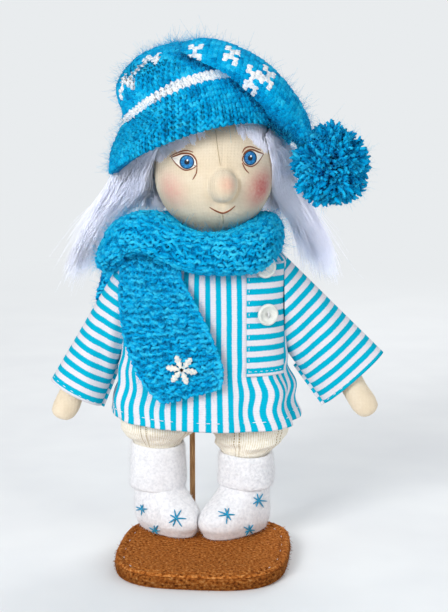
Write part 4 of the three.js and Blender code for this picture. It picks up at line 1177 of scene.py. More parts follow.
# Chest panel and buttons
placket_low, placket_high = node_box("placket")
PANEL_WIDTH = placket_high[0] - placket_low[0]
PANEL_LENGTH = placket_high[2] - placket_low[2]
PANEL_TURNED = 1.1
PANEL_SEAM_HEIGHT = 0.08
PANEL_MESH = (26, 70)


def placket_surface(a, b):
    """The panel on the shirt's front; its free edge stands off a little."""
    x = placket_low[0] + a * PANEL_WIDTH
    level = placket_low[2] + b * PANEL_LENGTH
    stand = 1.0 + 0.5 * np.sin(TURN * (0.7 * b + 0.2)) * a ** 2
    return np.stack([x, shirt_front(x, level) - stand, level], -1)


def build_placket():
    body = "standing_doll"
    width = PANEL_WIDTH * PANEL_TURNED
    panel = flat_cloth(
        "chest_panel", placket_surface, *PANEL_MESH, SHIRT_CLOTH, striped_cotton, width, PANEL_LENGTH, True
    )
    dress(panel, body, "striped_cotton", "placket")
    line = np.linspace(0.02, 0.98, 60)
    edges = [(np.full_like(line, 0.06), line), (line, np.full_like(line, 0.045))]
    for number, (a, b) in enumerate(edges, 1):
        way = lifted(placket_surface, a, b, PANEL_SEAM_HEIGHT)
        seam = running_stitch(f"panel_thread_{number}", way, *PANEL_STITCH)
        dress(seam, body, "striped_cotton")


BUTTON_RADIUS = 5.75
BUTTON_THICKNESS = 2.2
# Places of a turned profile: shares of the radius and of the thickness
BUTTON_PROFILE = [
    (0.05, -0.5), (0.8, -0.5), (0.94, -0.4), (1.0, -0.1), (0.99, 0.2), (0.92, 0.44), (0.83, 0.5),
    (0.74, 0.42), (0.66, 0.2), (0.5, 0.08), (0.05, 0.04),
]
BUTTON_HOLES_APART = 3.0
BUTTON_THREAD = 0.24


def build_button(node, name):
    """A turned button with a rim, a dished face and thread through its pair of holes."""
    points = vertex_places(frame["nodes"][node])
    centre = points.mean(0)
    _, _, axes = np.linalg.svd(points - centre)
    out = axes[2] * -np.sign(axes[2][1])
    right = unit(np.cross(out, [0, 0, 1.0])) * -1
    up = np.cross(out, right)
    columns = 56
    angle = TURN * np.arange(columns)[:, None] / columns
    spoke = (np.cos(angle) * right + np.sin(angle) * up) * BUTTON_RADIUS
    rings = [centre + spoke * radius + out * level * BUTTON_THICKNESS for radius, level in BUTTON_PROFILE]
    dress(lathe(name, rings, pearl), "standing_doll", "pearl", node)
    arch = np.linspace(0, math.pi, 7)[:, None]
    bridge = centre + np.cos(arch) * up * BUTTON_HOLES_APART / 2 + out * (0.1 + 0.7 * np.sin(arch))
    paths = np.stack([bridge + right * shift for shift in (-0.25, 0.25)])
    thread = tubes(paths, np.full(paths.shape[:2], BUTTON_THREAD), 6)
    dress(make_object(f"{name}_thread", *thread, white_thread), "standing_doll", "pearl")


# Knitting: the shapes of a stitch hold places across and up its cell, and heights in yarn radii
V_LEG = np.array([(0.06, -0.3, -0.2), (0.2, 0.15, 0.9), (0.34, 0.65, 1.0), (0.44, 1.15, 0.1)])
PLAIN_STITCH = [V_LEG, V_LEG * (-1, 1, 1)]
GARTER_ARC = np.array([
    (-0.5, 0.1, 0.1), (-0.28, 0.5, 1.1), (0.0, 0.68, 1.5), (0.28, 0.5, 1.1), (0.5, 0.1, 0.1),
])
GARTER_STITCH = [GARTER_ARC, GARTER_ARC * (1, -1, 1) + (0.5, 0.1, 0)]
STITCH_WIDTH = 3.5
STITCH_HEIGHT = 2.6
YARN_RADIUS = 1.02
YARN_SIDES = 6
YARN_SPREAD = (0.88, 1.14)
YARN_END = 0.75
PLAIN_WILD = 0.035
# Shadow on dim stitches, and on the ends of a stitch that lie under the next ones
SHADOW_DEPTH = 0.8
STITCH_SHADOW = 0.5
# Loose hairs over the yarn
FUZZ_STEPS = 5
FUZZ_RADIUS = 0.075
FUZZ_SUNK = 0.6
FUZZ_SHADES = (0.35, 1.1)


def set_yarn(made, shade, white=0.0):
    """Shade and whiteness of the yarn, one for the whole piece or one for each point."""
    for name, values in (("shade", shade), ("white", white)):
        set_value(made, name, np.broadcast_to(values, len(made.data.vertices)))


def knit(name, surface, cells, shapes, seed, white=0.0, yarn=YARN_RADIUS, wild=PLAIN_WILD, bright=1.0):
    """Yarn for stitches on a surface: cells holds a, b, width and height of each, in shares of it."""
    rng = np.random.default_rng(seed)
    count = len(cells)
    a, b, wide, tall = cells.T[..., None]
    size = yarn * rng.uniform(*YARN_SPREAD, (count, 1))
    shade = rng.beta(3, 3, count) * bright - SHADOW_DEPTH * (1 - bright)
    paths = []
    radii = []
    for shape in shapes:
        across, up, height = shape.T
        jitter = rng.normal(0, wild, (2, count, 1))
        jitter = jitter + rng.normal(0, wild / 2, (2, count, len(shape)))
        stitch_a = a + wide * (across + jitter[0])
        stitch_b = b + tall * (up + jitter[1])
        paths.append(lifted(surface, stitch_a, stitch_b, size * height))
        middle = np.interp(np.linspace(0, 1, len(shape)), [0, 0.3, 0.7, 1], [0, 1, 1, 0])
        radii.append(size * (YARN_END + (1 - YARN_END) * middle))
    made = make_object(name, *tubes(np.concatenate(paths), np.concatenate(radii), YARN_SIDES), blue_yarn)
    shades = np.tile(shade, len(shapes))[:, None] - STITCH_SHADOW * (1 - middle)
    whites = np.tile(np.broadcast_to(white, count), len(shapes))
    set_yarn(made, np.repeat(shades, YARN_SIDES), np.repeat(whites, len(middle) * YARN_SIDES))
    return made


def cell_grid(surface, width, height):
    """Cells of even size in millimetres on a surface, fewer across where it narrows."""
    steps = 80
    probe = np.linspace(0, 1, steps + 1)
    a, b = np.meshgrid(probe, probe)
    points = surface(a, b)
    girths = np.linalg.norm(np.diff(points, axis=1), axis=2).sum(1)
    lengths = np.linalg.norm(np.diff(points, axis=0), axis=2).cumsum(0)
    columns = int(round(girths.max() / width / 4)) * 4
    cells = []
    marks = []
    for column in range(columns):
        place = (column + 0.5) / columns
        walk = np.concatenate([[0], lengths[:, int(place * steps)]])
        starts = np.arange(0, walk[-1] - 0.4 * height, height)
        rows = np.interp(starts, walk, probe)
        tall = np.interp(starts + height, walk, probe) - rows
        tall = np.where(starts + height > walk[-1], 1 - rows, tall)
        narrow = np.interp(rows + tall / 2, probe, girths) / girths.max()
        every = np.select([narrow > 0.52, narrow > 0.27], [1, 2], 4)
        keep = column % every == 0
        middle = place + (every - 1) / (2 * columns)
        cells.append(np.stack([np.where(keep, middle, -1), rows, every / columns, tall], -1))
        marks.append(np.stack([np.full(len(rows), column), np.arange(len(rows))], -1))
    cells = np.concatenate(cells)
    marks = np.concatenate(marks)
    kept = cells[:, 0] >= 0
    return cells[kept], marks[kept]


def fuzz(name, surface, count, length, seed):
    """Loose mohair hairs over a knitted surface."""
    rng = np.random.default_rng(seed)
    a = rng.random(count)
    b = rng.random(count)
    roots = lifted(surface, a, b, YARN_RADIUS * FUZZ_SUNK)
    hairs = fibres(roots, outward(surface, a, b), length, FUZZ_RADIUS, 1.4, 1.1, seed, FUZZ_STEPS)
    made = make_object(name, *hairs, blue_yarn)
    set_yarn(made, np.repeat(rng.uniform(*FUZZ_SHADES, count), FUZZ_STEPS * FIBRE_SIDES))
    return made


def underlay(name, surface, columns, rows, thickness):
    """The layer of yarn under the stitches, as a closed sleeve, in the yarn's darkest shade: painted shade
    between the stitches.
    """
    made = tube_cloth(name, surface, columns, rows, thickness, blue_yarn, 1, 1, False)
    set_yarn(made, 0.0)
    return made


# Hat: each row holds the share of its height, the shift of its centre, and its width and depth as shares
HAT_ROWS = np.array([
    (0.0, 0.0, 1.0, 1.0),
    (0.12, 0.0, 0.995, 1.0),
    (0.3, -0.01, 0.95, 0.98),
    (0.5, -0.05, 0.88, 0.95),
    (0.68, -0.11, 0.79, 0.86),
    (0.83, -0.13, 0.63, 0.7),
    (0.94, -0.13, 0.4, 0.46),
    (1.0, -0.13, 0.1, 0.12),
])
BRIM_HEIGHT = 39.75
HAT_WALL = 3.4
HAT_MESH = (160, 60)
HAT_PINCH = 5.5
PINCH_LEVEL = 0.42
PINCH_REACH = 0.17
# The tail's shadow on the hat: the distance at which it starts, and over which it fades
TAIL_NEAR = 1
TAIL_SHADOW = 7
KNIT_FUZZ = 2.6
HAT_HAIRS = 11000


def brim_level(a):
    """Height of the brim round the head: low at the doll's right and at the back."""
    angle = TURN * a
    tilt = 8.4 * np.cos(angle) - 13 * np.sin(angle)
    wave = 0.5 * np.cos(2 * angle) + np.sin(2 * angle)
    return HEAD_BOTTOM + BRIM_HEIGHT + tilt - 2.7 * wave


def hat_surface(a, b):
    """The hat from its brim up, with soft dents and a pinch at the doll's right."""
    share, shift, width, depth = np.moveaxis(along(HAT_ROWS, b), -1, 0)
    slouch = 1 + 0.012 * np.sin(TURN * (3 * a + 0.8 * share))
    slouch = slouch + 0.01 * np.sin(TURN * (5 * a - 1.3 * share) + 1)
    level = brim_level(a) + (HAT_TOP - brim_level(a)) * share
    pinch = HAT_PINCH * np.maximum(0, -np.cos(TURN * a)) ** 2 * bell(share, PINCH_LEVEL, PINCH_REACH)
    return np.stack([
        HAT_X + HAT_HALF_WIDTH * (shift + width * slouch * np.cos(TURN * a)) + pinch,
        DOLL_Y + HAT_HALF_DEPTH * depth * slouch * np.sin(TURN * a),
        level,
    ], -1)


# Rows of stitches of the white band
BAND_ROW = 9
BAND_ROWS = 2
# Pixels of the photograph with a white flake on the hat and on its tail
HAT_FLAKES = [(127, 82), (153, 61)]
TAIL_FLAKES = [(197, 53), (229, 56), (252, 82), (266, 78)]


def photo_pixels(points):
    """Pixels of the photograph that places fall on."""
    run = points - CAMERA_PLACE
    ahead = run[..., 1] * math.cos(CAMERA_PITCH) - run[..., 2] * math.sin(CAMERA_PITCH)
    up = run[..., 1] * math.sin(CAMERA_PITCH) + run[..., 2] * math.cos(CAMERA_PITCH)
    u = IMAGE_WIDTH / 2 + FOCAL_PIXELS * run[..., 0] / ahead
    v = IMAGE_HEIGHT / 2 - FOCAL_PIXELS * up / ahead
    return np.stack([u, v], -1)


def flakes(surface, cells, marks, places, tall):
    """White stitches of small flakes around the stitches that lie nearest to pixels of the photograph."""
    middle = surface(cells[:, 0], cells[:, 1] + cells[:, 3] / 2)
    pixels = photo_pixels(middle)
    facing = (outward(surface, cells[:, 0], cells[:, 1]) * (CAMERA_PLACE - middle)).sum(1) > 0
    columns = marks[:, 0].max() + 1
    white = np.zeros(len(cells), bool)
    for place in places:
        away = np.linalg.norm(pixels - place, axis=1) + 1000 * ~facing
        column, row = marks[away.argmin()]
        beside = np.abs((marks[:, 0] - column + columns // 2) % columns - columns // 2)
        above = np.abs(marks[:, 1] - row)
        crossed = (beside == above) | (beside == above + 1)
        white |= (beside <= 2) & (above <= tall) & crossed
    return white


def build_hat():
    body = "head"
    base = underlay("hat_lining", lambda a, b: hat_surface(a, b * 0.999), *HAT_MESH, HAT_WALL)
    dress(base, body, "blue_knit", "hat_cap")
    cells, marks = cell_grid(hat_surface, STITCH_WIDTH, STITCH_HEIGHT)
    row = marks[:, 1]
    band = (row >= BAND_ROW) & (row < BAND_ROW + BAND_ROWS)
    white = band | flakes(hat_surface, cells, marks, HAT_FLAKES, 2)
    middle = hat_surface(cells[:, 0], cells[:, 1])
    a, b = np.meshgrid(np.linspace(0, 1, 40), np.linspace(0.1, 0.9, 40))
    tail = tail_surface(a, b).reshape(-1, 3)
    # Painted shadow of the tail: the hat's stitches get darker near it
    near = np.array([np.linalg.norm(tail - place, axis=1).min() for place in middle])
    bright = np.clip((near - TAIL_NEAR) / TAIL_SHADOW, 0, 1)
    stitches = knit("hat_stitches", hat_surface, cells, PLAIN_STITCH, 21, white, bright=bright)
    dress(stitches, body, "blue_knit")
    dress(fuzz("hat_fuzz", hat_surface, HAT_HAIRS, KNIT_FUZZ, 22), body, "blue_knit")


# Hat tail: each row holds x, z, half thickness, half breadth and y
TAIL_HALF_THICKNESS = 9.5
TAIL_HALF_BREADTH = 27.0
TAIL_WALL = 2.6
TAIL_MESH = (90, 70)
TAIL_ROUNDING = 2.2
TAIL_HAIRS = 5000
TAIL_ROWS = np.array([
    (-0.28, 0.06, 0.42, 0.72, -0.11),
    (0.04, 0.073, 0.95, 1.0, -0.18),
    (0.5, 0.177, 1.1, 0.94, -0.3),
    (0.826, 0.323, 1.0, 0.66, -0.41),
    (1.02, 0.42, 0.66, 0.34, -0.46),
    (1.15, 0.51, 0.26, 0.14, -0.48),
]) * (HAT_HALF_WIDTH, -(HAT_TOP - HEAD_BOTTOM), TAIL_HALF_THICKNESS, TAIL_HALF_BREADTH, TAIL_HALF_BREADTH)


def tail_surface(a, b):
    """The tail from the crown of the hat to its tip, flat and folded over to the doll's left."""
    x, drop, thick, broad, back = np.moveaxis(along(TAIL_ROWS, b), -1, 0)
    ahead = along(TAIL_ROWS, np.clip(b + 0.01, 0, 1)) - along(TAIL_ROWS, np.clip(b - 0.01, 0, 1))
    run = unit(ahead[..., :2])
    out, deep = superellipse(a, TAIL_ROUNDING)
    return np.stack([
        x + run[..., 1] * thick * out,
        DOLL_Y + back + broad * deep,
        HAT_TOP + drop - run[..., 0] * thick * out,
    ], -1)


def build_tail():
    body = "hat_tail"
    base = underlay("hat_tail_lining", tail_surface, *TAIL_MESH, TAIL_WALL)
    dress(base, body, "blue_knit", "hat_tail")
    cells, marks = cell_grid(tail_surface, STITCH_WIDTH, STITCH_HEIGHT)
    white = flakes(tail_surface, cells, marks, TAIL_FLAKES, 1)
    # Painted shade: the tail's stitches get darker towards its underside, where it overhangs the hat
    under = np.cos(TURN * cells[:, 0])
    bright = 1 - 0.8 * np.clip(under + 0.1, 0, 1)
    stitches = knit("hat_tail_stitches", tail_surface, cells, PLAIN_STITCH, 31, white, bright=bright)
    dress(stitches, body, "blue_knit")
    dress(fuzz("hat_tail_fuzz", tail_surface, TAIL_HAIRS, KNIT_FUZZ, 32), body, "blue_knit")


# The yarn sits a little closer to the tail's tip than the solid
POMPOM_SHIFT = (-1.2, 0, 0.6)
POMPOM_FLUFF = 1.03
POMPOM_YARNS = 1150
POMPOM_HAIRS = 4000
POMPOM_CURL = 0.05
POMPOM_CURLS = 11


def build_pompom():
    """Cut yarn ends that stand out from the middle, thick and curly, in uneven tufts."""
    body = "pompom"
    centre = (pompom_low + pompom_high) / 2 + POMPOM_SHIFT
    half = (pompom_high - pompom_low) / 2 * POMPOM_FLUFF
    rng = np.random.default_rng(41)
    count = POMPOM_YARNS
    aim = unit(rng.normal(size=(count, 3)))
    swirl = unit(np.cross(aim, rng.normal(size=(count, 3))))
    third = np.cross(aim, swirl)
    lump = 1 + 0.08 * np.sin(4.2 * aim[:, :1] + 1) * np.sin(5.1 * aim[:, 1:2])
    lump = lump + 0.06 * np.sin(7 * aim[:, 2:])
    t = np.linspace(0.3, 1, 9)
    reach = rng.uniform(0.84, 1.0, (count, 1)) * lump
    bend = rng.uniform(0.1, 0.5, (count, 1))
    phase = rng.uniform(0, TURN, (count, 1))
    curl = POMPOM_CURL * t ** 2
    radial = aim[:, None] * (reach * (t - 0.25 * bend * t ** 3))[..., None]
    aside = swirl[:, None] * (bend * t ** 3 * 0.55 + curl * np.sin(POMPOM_CURLS * t + phase))[..., None]
    twist = third[:, None] * (curl * np.cos(POMPOM_CURLS * t + phase))[..., None]
    paths = centre + (radial + aside + twist) * half
    radii = rng.uniform(0.8, 1.2, (count, 1)) * np.interp(t, [0.3, 0.6, 0.94, 1], [0.8, 1, 1, 0.55])
    tuft = make_object("pompom_yarn", *tubes(paths, radii, YARN_SIDES), blue_yarn)
    # Painted shade: each yarn gets darker towards the pompom's middle, where the tufts shade one another
    outside = np.clip((t - 0.45) * 2, 0, 1)
    shade = rng.beta(2, 2, (count, 1)) * outside
    set_yarn(tuft, np.repeat(shade, YARN_SIDES))
    dress(tuft, body, "blue_knit", "pompom")
    chosen = rng.integers(0, count, POMPOM_HAIRS)
    step = rng.integers(5, len(t), POMPOM_HAIRS)
    fluff = fibres(paths[chosen, step], aim[chosen], KNIT_FUZZ, 0.055, 1.0, 0.9, 42, FUZZ_STEPS)
    hairs = make_object("pompom_fuzz", *fluff, blue_yarn)
    set_yarn(hairs, np.repeat(rng.uniform(0.5, 1.3, POMPOM_HAIRS), FUZZ_STEPS * FIBRE_SIDES))
    dress(hairs, body, "blue_knit")


# Scarf
SCARF_X = -3.0
SCARF_Y = -4.0
SCARF_HALF_WIDTH = 38.0
SCARF_HALF_DEPTH = 25.0
SCARF_HALF_HEIGHT = 11.0
SCARF_HALF_THICKNESS = 8.0
SCARF_ROUNDING = 2.6
SCARF_CLEARANCE = 2.2
SCARF_YARN = 0.86
SCARF_WILD = 0.22
SCARF_BRIGHT = 1.2
SCARF_COLUMNS = 66
SCARF_ROWS = 20
SCARF_HAIRS = 14000


def head_radius(level):
    """Largest distance from the head's axis that the head reaches at a level as it turns."""
    share = (level - HEAD_BOTTOM) / HEAD_HEIGHT
    return np.interp(share, HEAD_ROWS[:, 0], HEAD_ROWS[:, 1], left=0) * HEAD_HALF_DEPTH


def scarf_surface(a, b):
    """The ring round the neck: low in front, raised at both sides, drawn out over the right shoulder."""
    angle = TURN * a
    front = np.maximum(0, -np.sin(angle)) ** 2
    over_shoulder = bell(a, 0.53, 0.11)
    over_button = bell(a, 0.88, 0.06)
    over_end = bell(a, 0.635, 0.075)
    soft = 1 + 0.07 * np.sin(3 * angle + 0.7) + 0.05 * np.sin(5 * angle)
    thick = SCARF_HALF_THICKNESS * soft * (1 + 0.2 * over_shoulder + 0.45 * over_button + 0.3 * over_end)
    sag = 5.0 * front + 5.0 * over_shoulder + 1.0 * over_button - 9.0 * over_end
    level = COLLAR + 1.4 - sag + 1.0 * np.sin(2 * angle + 0.6)
    plump = 0.36 * over_shoulder + 0.1 * over_button - 0.24 * over_end
    tall = SCARF_HALF_HEIGHT * (0.88 + 0.05 * np.sin(3 * angle + 2) + plump)
    out, up = superellipse(b, SCARF_ROUNDING)
    half_width = SCARF_HALF_WIDTH - 3 * np.maximum(0, np.cos(angle)) + (3 - 6 * up) * over_shoulder
    z = level + tall * up
    x = SCARF_X + (half_width + thick * out) * np.cos(angle)
    y = DOLL_Y + SCARF_Y + (SCARF_HALF_DEPTH + thick * out) * np.sin(angle)
    away = np.hypot(x - HEAD_X, y - DOLL_Y) + 1e-9
    clear = np.maximum(1, (head_radius(z) + SCARF_CLEARANCE) / away)
    return np.stack([HEAD_X + (x - HEAD_X) * clear, DOLL_Y + (y - DOLL_Y) * clear, z], -1)


def even_cells(columns, rows):
    """Cells in even shares across and up."""
    a, b = np.meshgrid((np.arange(columns) + 0.5) / columns, (np.arange(rows) + 0.5) / rows)
    cells = np.stack([a, b, np.full_like(a, 1 / columns), np.full_like(a, 1 / rows)], -1)
    return cells.reshape(-1, 4)


def scarf_knit(name, surface, cells, shapes, seed, wild):
    return knit(name, surface, cells, shapes, seed, yarn=SCARF_YARN, wild=wild, bright=SCARF_BRIGHT)


def build_scarf_wrap():
    body = "standing_doll"
    columns = 160
    rows = 36
    a, b = np.meshgrid(np.arange(columns) / columns, np.arange(rows) / rows)
    ring = lathe("scarf_core", scarf_surface(a, b), blue_yarn)
    # Painted shade: the core under the stitches takes a dark shade of the yarn
    set_yarn(ring, 0.12)
    dress(ring, body, "blue_knit", "scarf_wrap")
    cells = even_cells(SCARF_COLUMNS, SCARF_ROWS)
    knots = scarf_knit("scarf_stitches", scarf_surface, cells, GARTER_STITCH, 51, SCARF_WILD)
    dress(knots, body, "blue_knit")
    dress(fuzz("scarf_fuzz", scarf_surface, SCARF_HAIRS, KNIT_FUZZ, 52), body, "blue_knit")


front_end_high = node_box("scarf_front_end")[1]
back_end_low, back_end_high = node_box("scarf_back_end")
front_hinge = joint_place("scarf_front_lift")
back_hinge = joint_place("scarf_back_lift")
SCARF_END_HALF_WIDTH = 18.5
SCARF_END_CUT = 38
FRONT_LENGTH = 61.0
FRONT_SWAY = 21.5
FRONT_TWIST = math.radians(15)
FRONT_TUCK = 15.0
BACK_CUT = 66
BACK_TUCK = 8
END_THICKNESS = 3.0
END_WILD = 0.21
END_FUZZ = 2.4
END_HAIRS = 8000
LINING_THICKNESS = 1.5
LINING_MESH = (30, 50)
# Half of the height between the two places above and below an end's hinge
END_BEND = 6
EDGE_GIVE = 0.05
EDGE_LOOP = np.array([(0.0, -0.15, 0.3), (0.08, 0.25, 1.2), (-0.08, 0.75, 1.2), (0.0, 1.15, 0.3)])
EDGE_LOOPS = 34
EDGE_INSET = 0.012
END_COLUMNS = 12
END_ROWS = 26


def edged(share):
    """A share of a width, held close to the edge where it goes past it, so that no stitch sticks out."""
    inside = np.clip(share, 0, 1)
    return inside + EDGE_GIVE * (share - inside)


def front_end_surface(a, b):
    """The hanging end from its lower edge up to its tuck under the wrap, with round lower corners."""
    a = edged(a)
    b = edged(b)
    top = front_end_high[2]
    t = 1 - b * (1 + FRONT_TUCK / FRONT_LENGTH)
    held = np.clip(t, 0, 1)
    half = SCARF_END_HALF_WIDTH * (0.84 + 0.3 * np.sin(math.pi * held * 0.9) + 0.1 * held)
    rounded = np.clip((held - 0.74) / 0.26, 0, 1)
    half = half * (1 - 0.22 * rounded ** 3)
    x = front_hinge[0] + FRONT_SWAY * (0.6 * held + 0.4 * held ** 2)
    side = (2 * a - 1) * half
    x = x + np.cos(FRONT_TWIST * held) * side
    z = top - FRONT_LENGTH * t + np.sin(FRONT_TWIST * held) * side
    wave = 0.8 * np.sin(TURN * (0.9 * a + 0.8 * b)) + 0.6 * np.sin(TURN * (1.7 * b - 0.4 * a))
    tuck = 1.0 * np.clip(-t * FRONT_LENGTH / FRONT_TUCK, 0, 1)
    return np.stack([x, shirt_front(x, z) - END_THICKNESS - 1.6 - 0.6 * wave - tuck, z], -1)


def back_end_surface(a, b):
    """The end behind the shoulder, from its lower edge up."""
    a = edged(a)
    b = edged(b)
    top = back_end_high[2] + BACK_TUCK
    length = top - back_end_low[2]
    t = 1 - b
    half = SCARF_END_HALF_WIDTH * (0.8 + 0.26 * np.sin(math.pi * t) + 0.1 * t)
    x = back_hinge[0] - 4 * t - (2 * a - 1) * half
    z = top - length * t + 0 * a
    wave = 1.2 * np.sin(TURN * (0.8 * a + 0.5 * b))
    return np.stack([x, back_end_low[1] + END_THICKNESS + 1.2 + wave, z], -1)


def edge_cells():
    """Cells of the loops that run along both edges of a scarf end."""
    rows = np.arange(EDGE_LOOPS) / EDGE_LOOPS
    size = np.broadcast_to((1 / END_COLUMNS, 1 / EDGE_LOOPS), (EDGE_LOOPS, 2))
    edges = (EDGE_INSET, 1 - EDGE_INSET)
    return np.concatenate([np.column_stack([np.full(EDGE_LOOPS, a), rows, size]) for a in edges])


def build_scarf_end(body, surface, length, hinge, seed):
    name = f"{body}_lining"
    cut = (SCARF_END_CUT, length)
    base = flat_cloth(name, surface, *LINING_MESH, LINING_THICKNESS, blue_yarn, *cut, False)
    # Painted shade: the layer between the stitches takes a dark shade of the yarn
    set_yarn(base, 0.05)

    def inner(a, b):
        return lifted(surface, 1 - a, b, -LINING_THICKNESS)

    cells = even_cells(END_COLUMNS, END_ROWS)
    knots = scarf_knit(f"{body}_stitches", surface, cells, GARTER_STITCH, seed, END_WILD)
    inner_knots = scarf_knit(f"{body}_inner_stitches", inner, cells, GARTER_STITCH, seed + 2, END_WILD)
    edge = scarf_knit(f"{body}_edge_loops", surface, edge_cells(), [EDGE_LOOP], seed + 3, PLAIN_WILD)
    hairs = fuzz(f"{body}_fuzz", surface, END_HAIRS, END_FUZZ, seed + 1)
    high = hinge + (0, 0, END_BEND)
    low = hinge - (0, 0, END_BEND)
    yarns = [knots, inner_knots, edge, hairs]
    for piece in [base, *yarns]:
        bend(piece, "standing_doll", body, high, low, "blue_knit")
    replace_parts(base, f"{body}_end")


def build_scarf_ends():
    build_scarf_end("scarf_front", front_end_surface, FRONT_LENGTH + FRONT_TUCK, front_hinge, 61)
    build_scarf_end("scarf_back", back_end_surface, BACK_CUT, back_hinge, 71)


# The flake is sewn on a little lower than the solid
SNOWFLAKE_SHIFT = (0, 0, -2.9)
SNOWFLAKE_GROWTH = 1.05
SNOWFLAKE_ARMS = 6
SNOWFLAKE_TURN = -0.17
# An arm's half widths at places along it, both as shares of the radius
SNOWFLAKE_OUTLINE = [
    (-0.08, 0.1), (0.3, 0.1), (0.42, 0.21), (0.52, 0.13),
    (0.66, 0.24), (0.76, 0.14), (0.86, 0.18), (1.0, 0.02),
]


def build_snowflake():
    """Six paddle-shaped arms of felt with notched edges."""
    low, high = node_box("snowflake")
    centre = ((low + high) / 2 + SNOWFLAKE_SHIFT) * (1, 0, 1)
    radius = (high[2] - low[2]) / 2 * SNOWFLAKE_GROWTH
    layers = [(low[1] + 0.9, 1.0), (low[1] + 0.2, 1.0), (low[1] - 0.1, 0.82)]
    section = [(y, inset) for y, inset in layers] + [(y, -inset) for y, inset in layers[::-1]]
    parts = []
    for arm in range(SNOWFLAKE_ARMS):
        angle = TURN * arm / SNOWFLAKE_ARMS + SNOWFLAKE_TURN
        aim = np.array([math.cos(angle), 0, math.sin(angle)])
        beside = np.array([-math.sin(angle), 0, math.cos(angle)])
        points = []
        for reach, half in SNOWFLAKE_OUTLINE:
            for y, share in section:
                points.append(centre + (aim * reach + beside * half * share) * radius + (0, y, 0))
        parts.append((np.array(points), grid(len(SNOWFLAKE_OUTLINE), len(section), False, True)))
    flake = make_object("felt_snowflake", *joined(parts), snow_felt)
    dress(flake, "scarf_front", "white_felt", "snowflake")


# Head and face
# The head's outline, as shares of its height and of its half width
HEAD_ROWS = np.array([
    (0.0, 0.3), (0.05, 0.53), (0.15, 0.78), (0.3, 0.945), (0.46, 1.0),
    (0.62, 0.985), (0.77, 0.88), (0.89, 0.65), (0.965, 0.37), (1.0, 0.08),
])
FACE_DEPTH = DOLL_Y - 33
HEAD_TURN = math.radians(8.5)
HEAD_VOXEL = 0.9
HEAD_ROUNDS = 4
NOSE_LEVEL = 26.5
NOSE_SIZE = (7.4, 11.0, 8.8)
NOSE_SUNK = 0.93
# The face lies before this depth in the head's own coordinates
FACE_START = -10
SEAM_DEPTH = 0.5
SEAM_HALF_WIDTH = 0.7
MOUTH_LEVEL = 15.5
MOUTH_DEPTH = 0.8
NOSE_CREASE = 1.7


def head_place():
    """Where the head's own coordinates lie in the frame."""
    bottom = Vector((HEAD_X, DOLL_Y, HEAD_BOTTOM)) * MM
    return Matrix.Translation(bottom) @ Matrix.Rotation(HEAD_TURN, 4, "Z")


def local_to_head(point):
    """A place of the frame in the head's own coordinates, in millimetres."""
    return np.array(head_place().inverted() @ (Vector(point) * MM)) / MM


def build_head():
    """A skull and a bulb nose, remeshed as one, in the head's own coordinates."""
    columns = 120
    rows = 80
    a, b = np.meshgrid(np.arange(columns) / columns, np.linspace(0, 1, rows))
    share, radius = np.moveaxis(along(HEAD_ROWS, b), -1, 0)
    x = radius * HEAD_HALF_WIDTH * np.cos(TURN * a)
    y = radius * HEAD_HALF_DEPTH * np.sin(TURN * a)
    skull = np.stack([x, y, share * HEAD_HEIGHT], -1).reshape(-1, 3)
    nose_columns = 40
    nose_rows = 24
    a, b = np.meshgrid(np.arange(nose_columns) / nose_columns, np.linspace(0.01, 0.99, nose_rows))
    nose = np.stack([
        NOSE_SIZE[0] * np.sin(math.pi * b) * np.cos(TURN * a),
        NOSE_SIZE[1] * np.sin(math.pi * b) * np.sin(TURN * a) - NOSE_SUNK * HEAD_HALF_DEPTH,
        NOSE_LEVEL - NOSE_SIZE[2] * np.cos(math.pi * b),
    ], -1).reshape(-1, 3)
    parts = [(skull, grid(rows, columns, False, True)), (nose, grid(nose_rows, nose_columns, False, True))]
    made = make_object("stuffed_head", *joined(parts), linen)
    cap_ends(made)
    remesh(made, HEAD_VOXEL, HEAD_ROUNDS)
    sew_face(made)
    made.matrix_world = head_place()
    dress(made, "head", "linen", "head")
    return made


def head_tree(head):
    """A search tree over the head where it stands, in metres."""
    place = head_place()
    points = [place @ v.co for v in head.data.vertices]
    return BVHTree.FromPolygons(points, [list(p.vertices) for p in head.data.polygons])


def paint_cheeks(head, tree):
    """Soft pink on both cheeks and the nose, in the head's own coordinates."""
    cheeks = []
    for x, level, radius, strength, code in CHEEKS:
        cheeks.append((local_to_head(on_head(tree, x, level, 0)), radius, strength, code))
    head.data.materials.clear()
    head.data.materials.append(linen_finish("face_linen", cheeks))


def cap_ends(made):
    """Closes the open ends of a mesh, so that it can be remeshed as a solid."""
    shape = bmesh.new()
    shape.from_mesh(made.data)
    bmesh.ops.holes_fill(shape, edges=[e for e in shape.edges if e.is_boundary], sides=0)
    bmesh.ops.recalc_face_normals(shape, faces=shape.faces)
    shape.to_mesh(made.data)
    shape.free()


def sew_face(made):
    """A seam down the middle of the face, a hollow at the mouth and a crease round the nose."""
    place = vertex_places(made)
    x, y, level = place.T
    seam = SEAM_DEPTH * bell(x, 0, SEAM_HALF_WIDTH)
    mouth = MOUTH_DEPTH * bell(level, MOUTH_LEVEL, 2.2) * bell(x, 0, 7)
    across = x / NOSE_SIZE[0]
    above = (level - NOSE_LEVEL) / NOSE_SIZE[2]
    lee = np.clip(0.5 + 0.5 * (across - above), 0.15, 1)
    crease = NOSE_CREASE * lee * bell(np.hypot(across, above), 1.08, 0.13)
    place[:, 1] += (seam + mouth + crease) * (y < FACE_START)
    move_vertices(made, place)


def face_point(x, level):
    """A place in an upright plane just in front of the face."""
    return np.array([x, FACE_DEPTH, level])


def on_head(tree, x, level, height):
    """The place on the head that lies behind a place in the face's plane, seen from the camera."""
    aim = unit(face_point(x, level) - CAMERA_PLACE)
    hit, normal, _, _ = tree.ray_cast(Vector(CAMERA_PLACE) * MM, Vector(aim))
    return np.array(hit) / MM + np.array(normal) * height


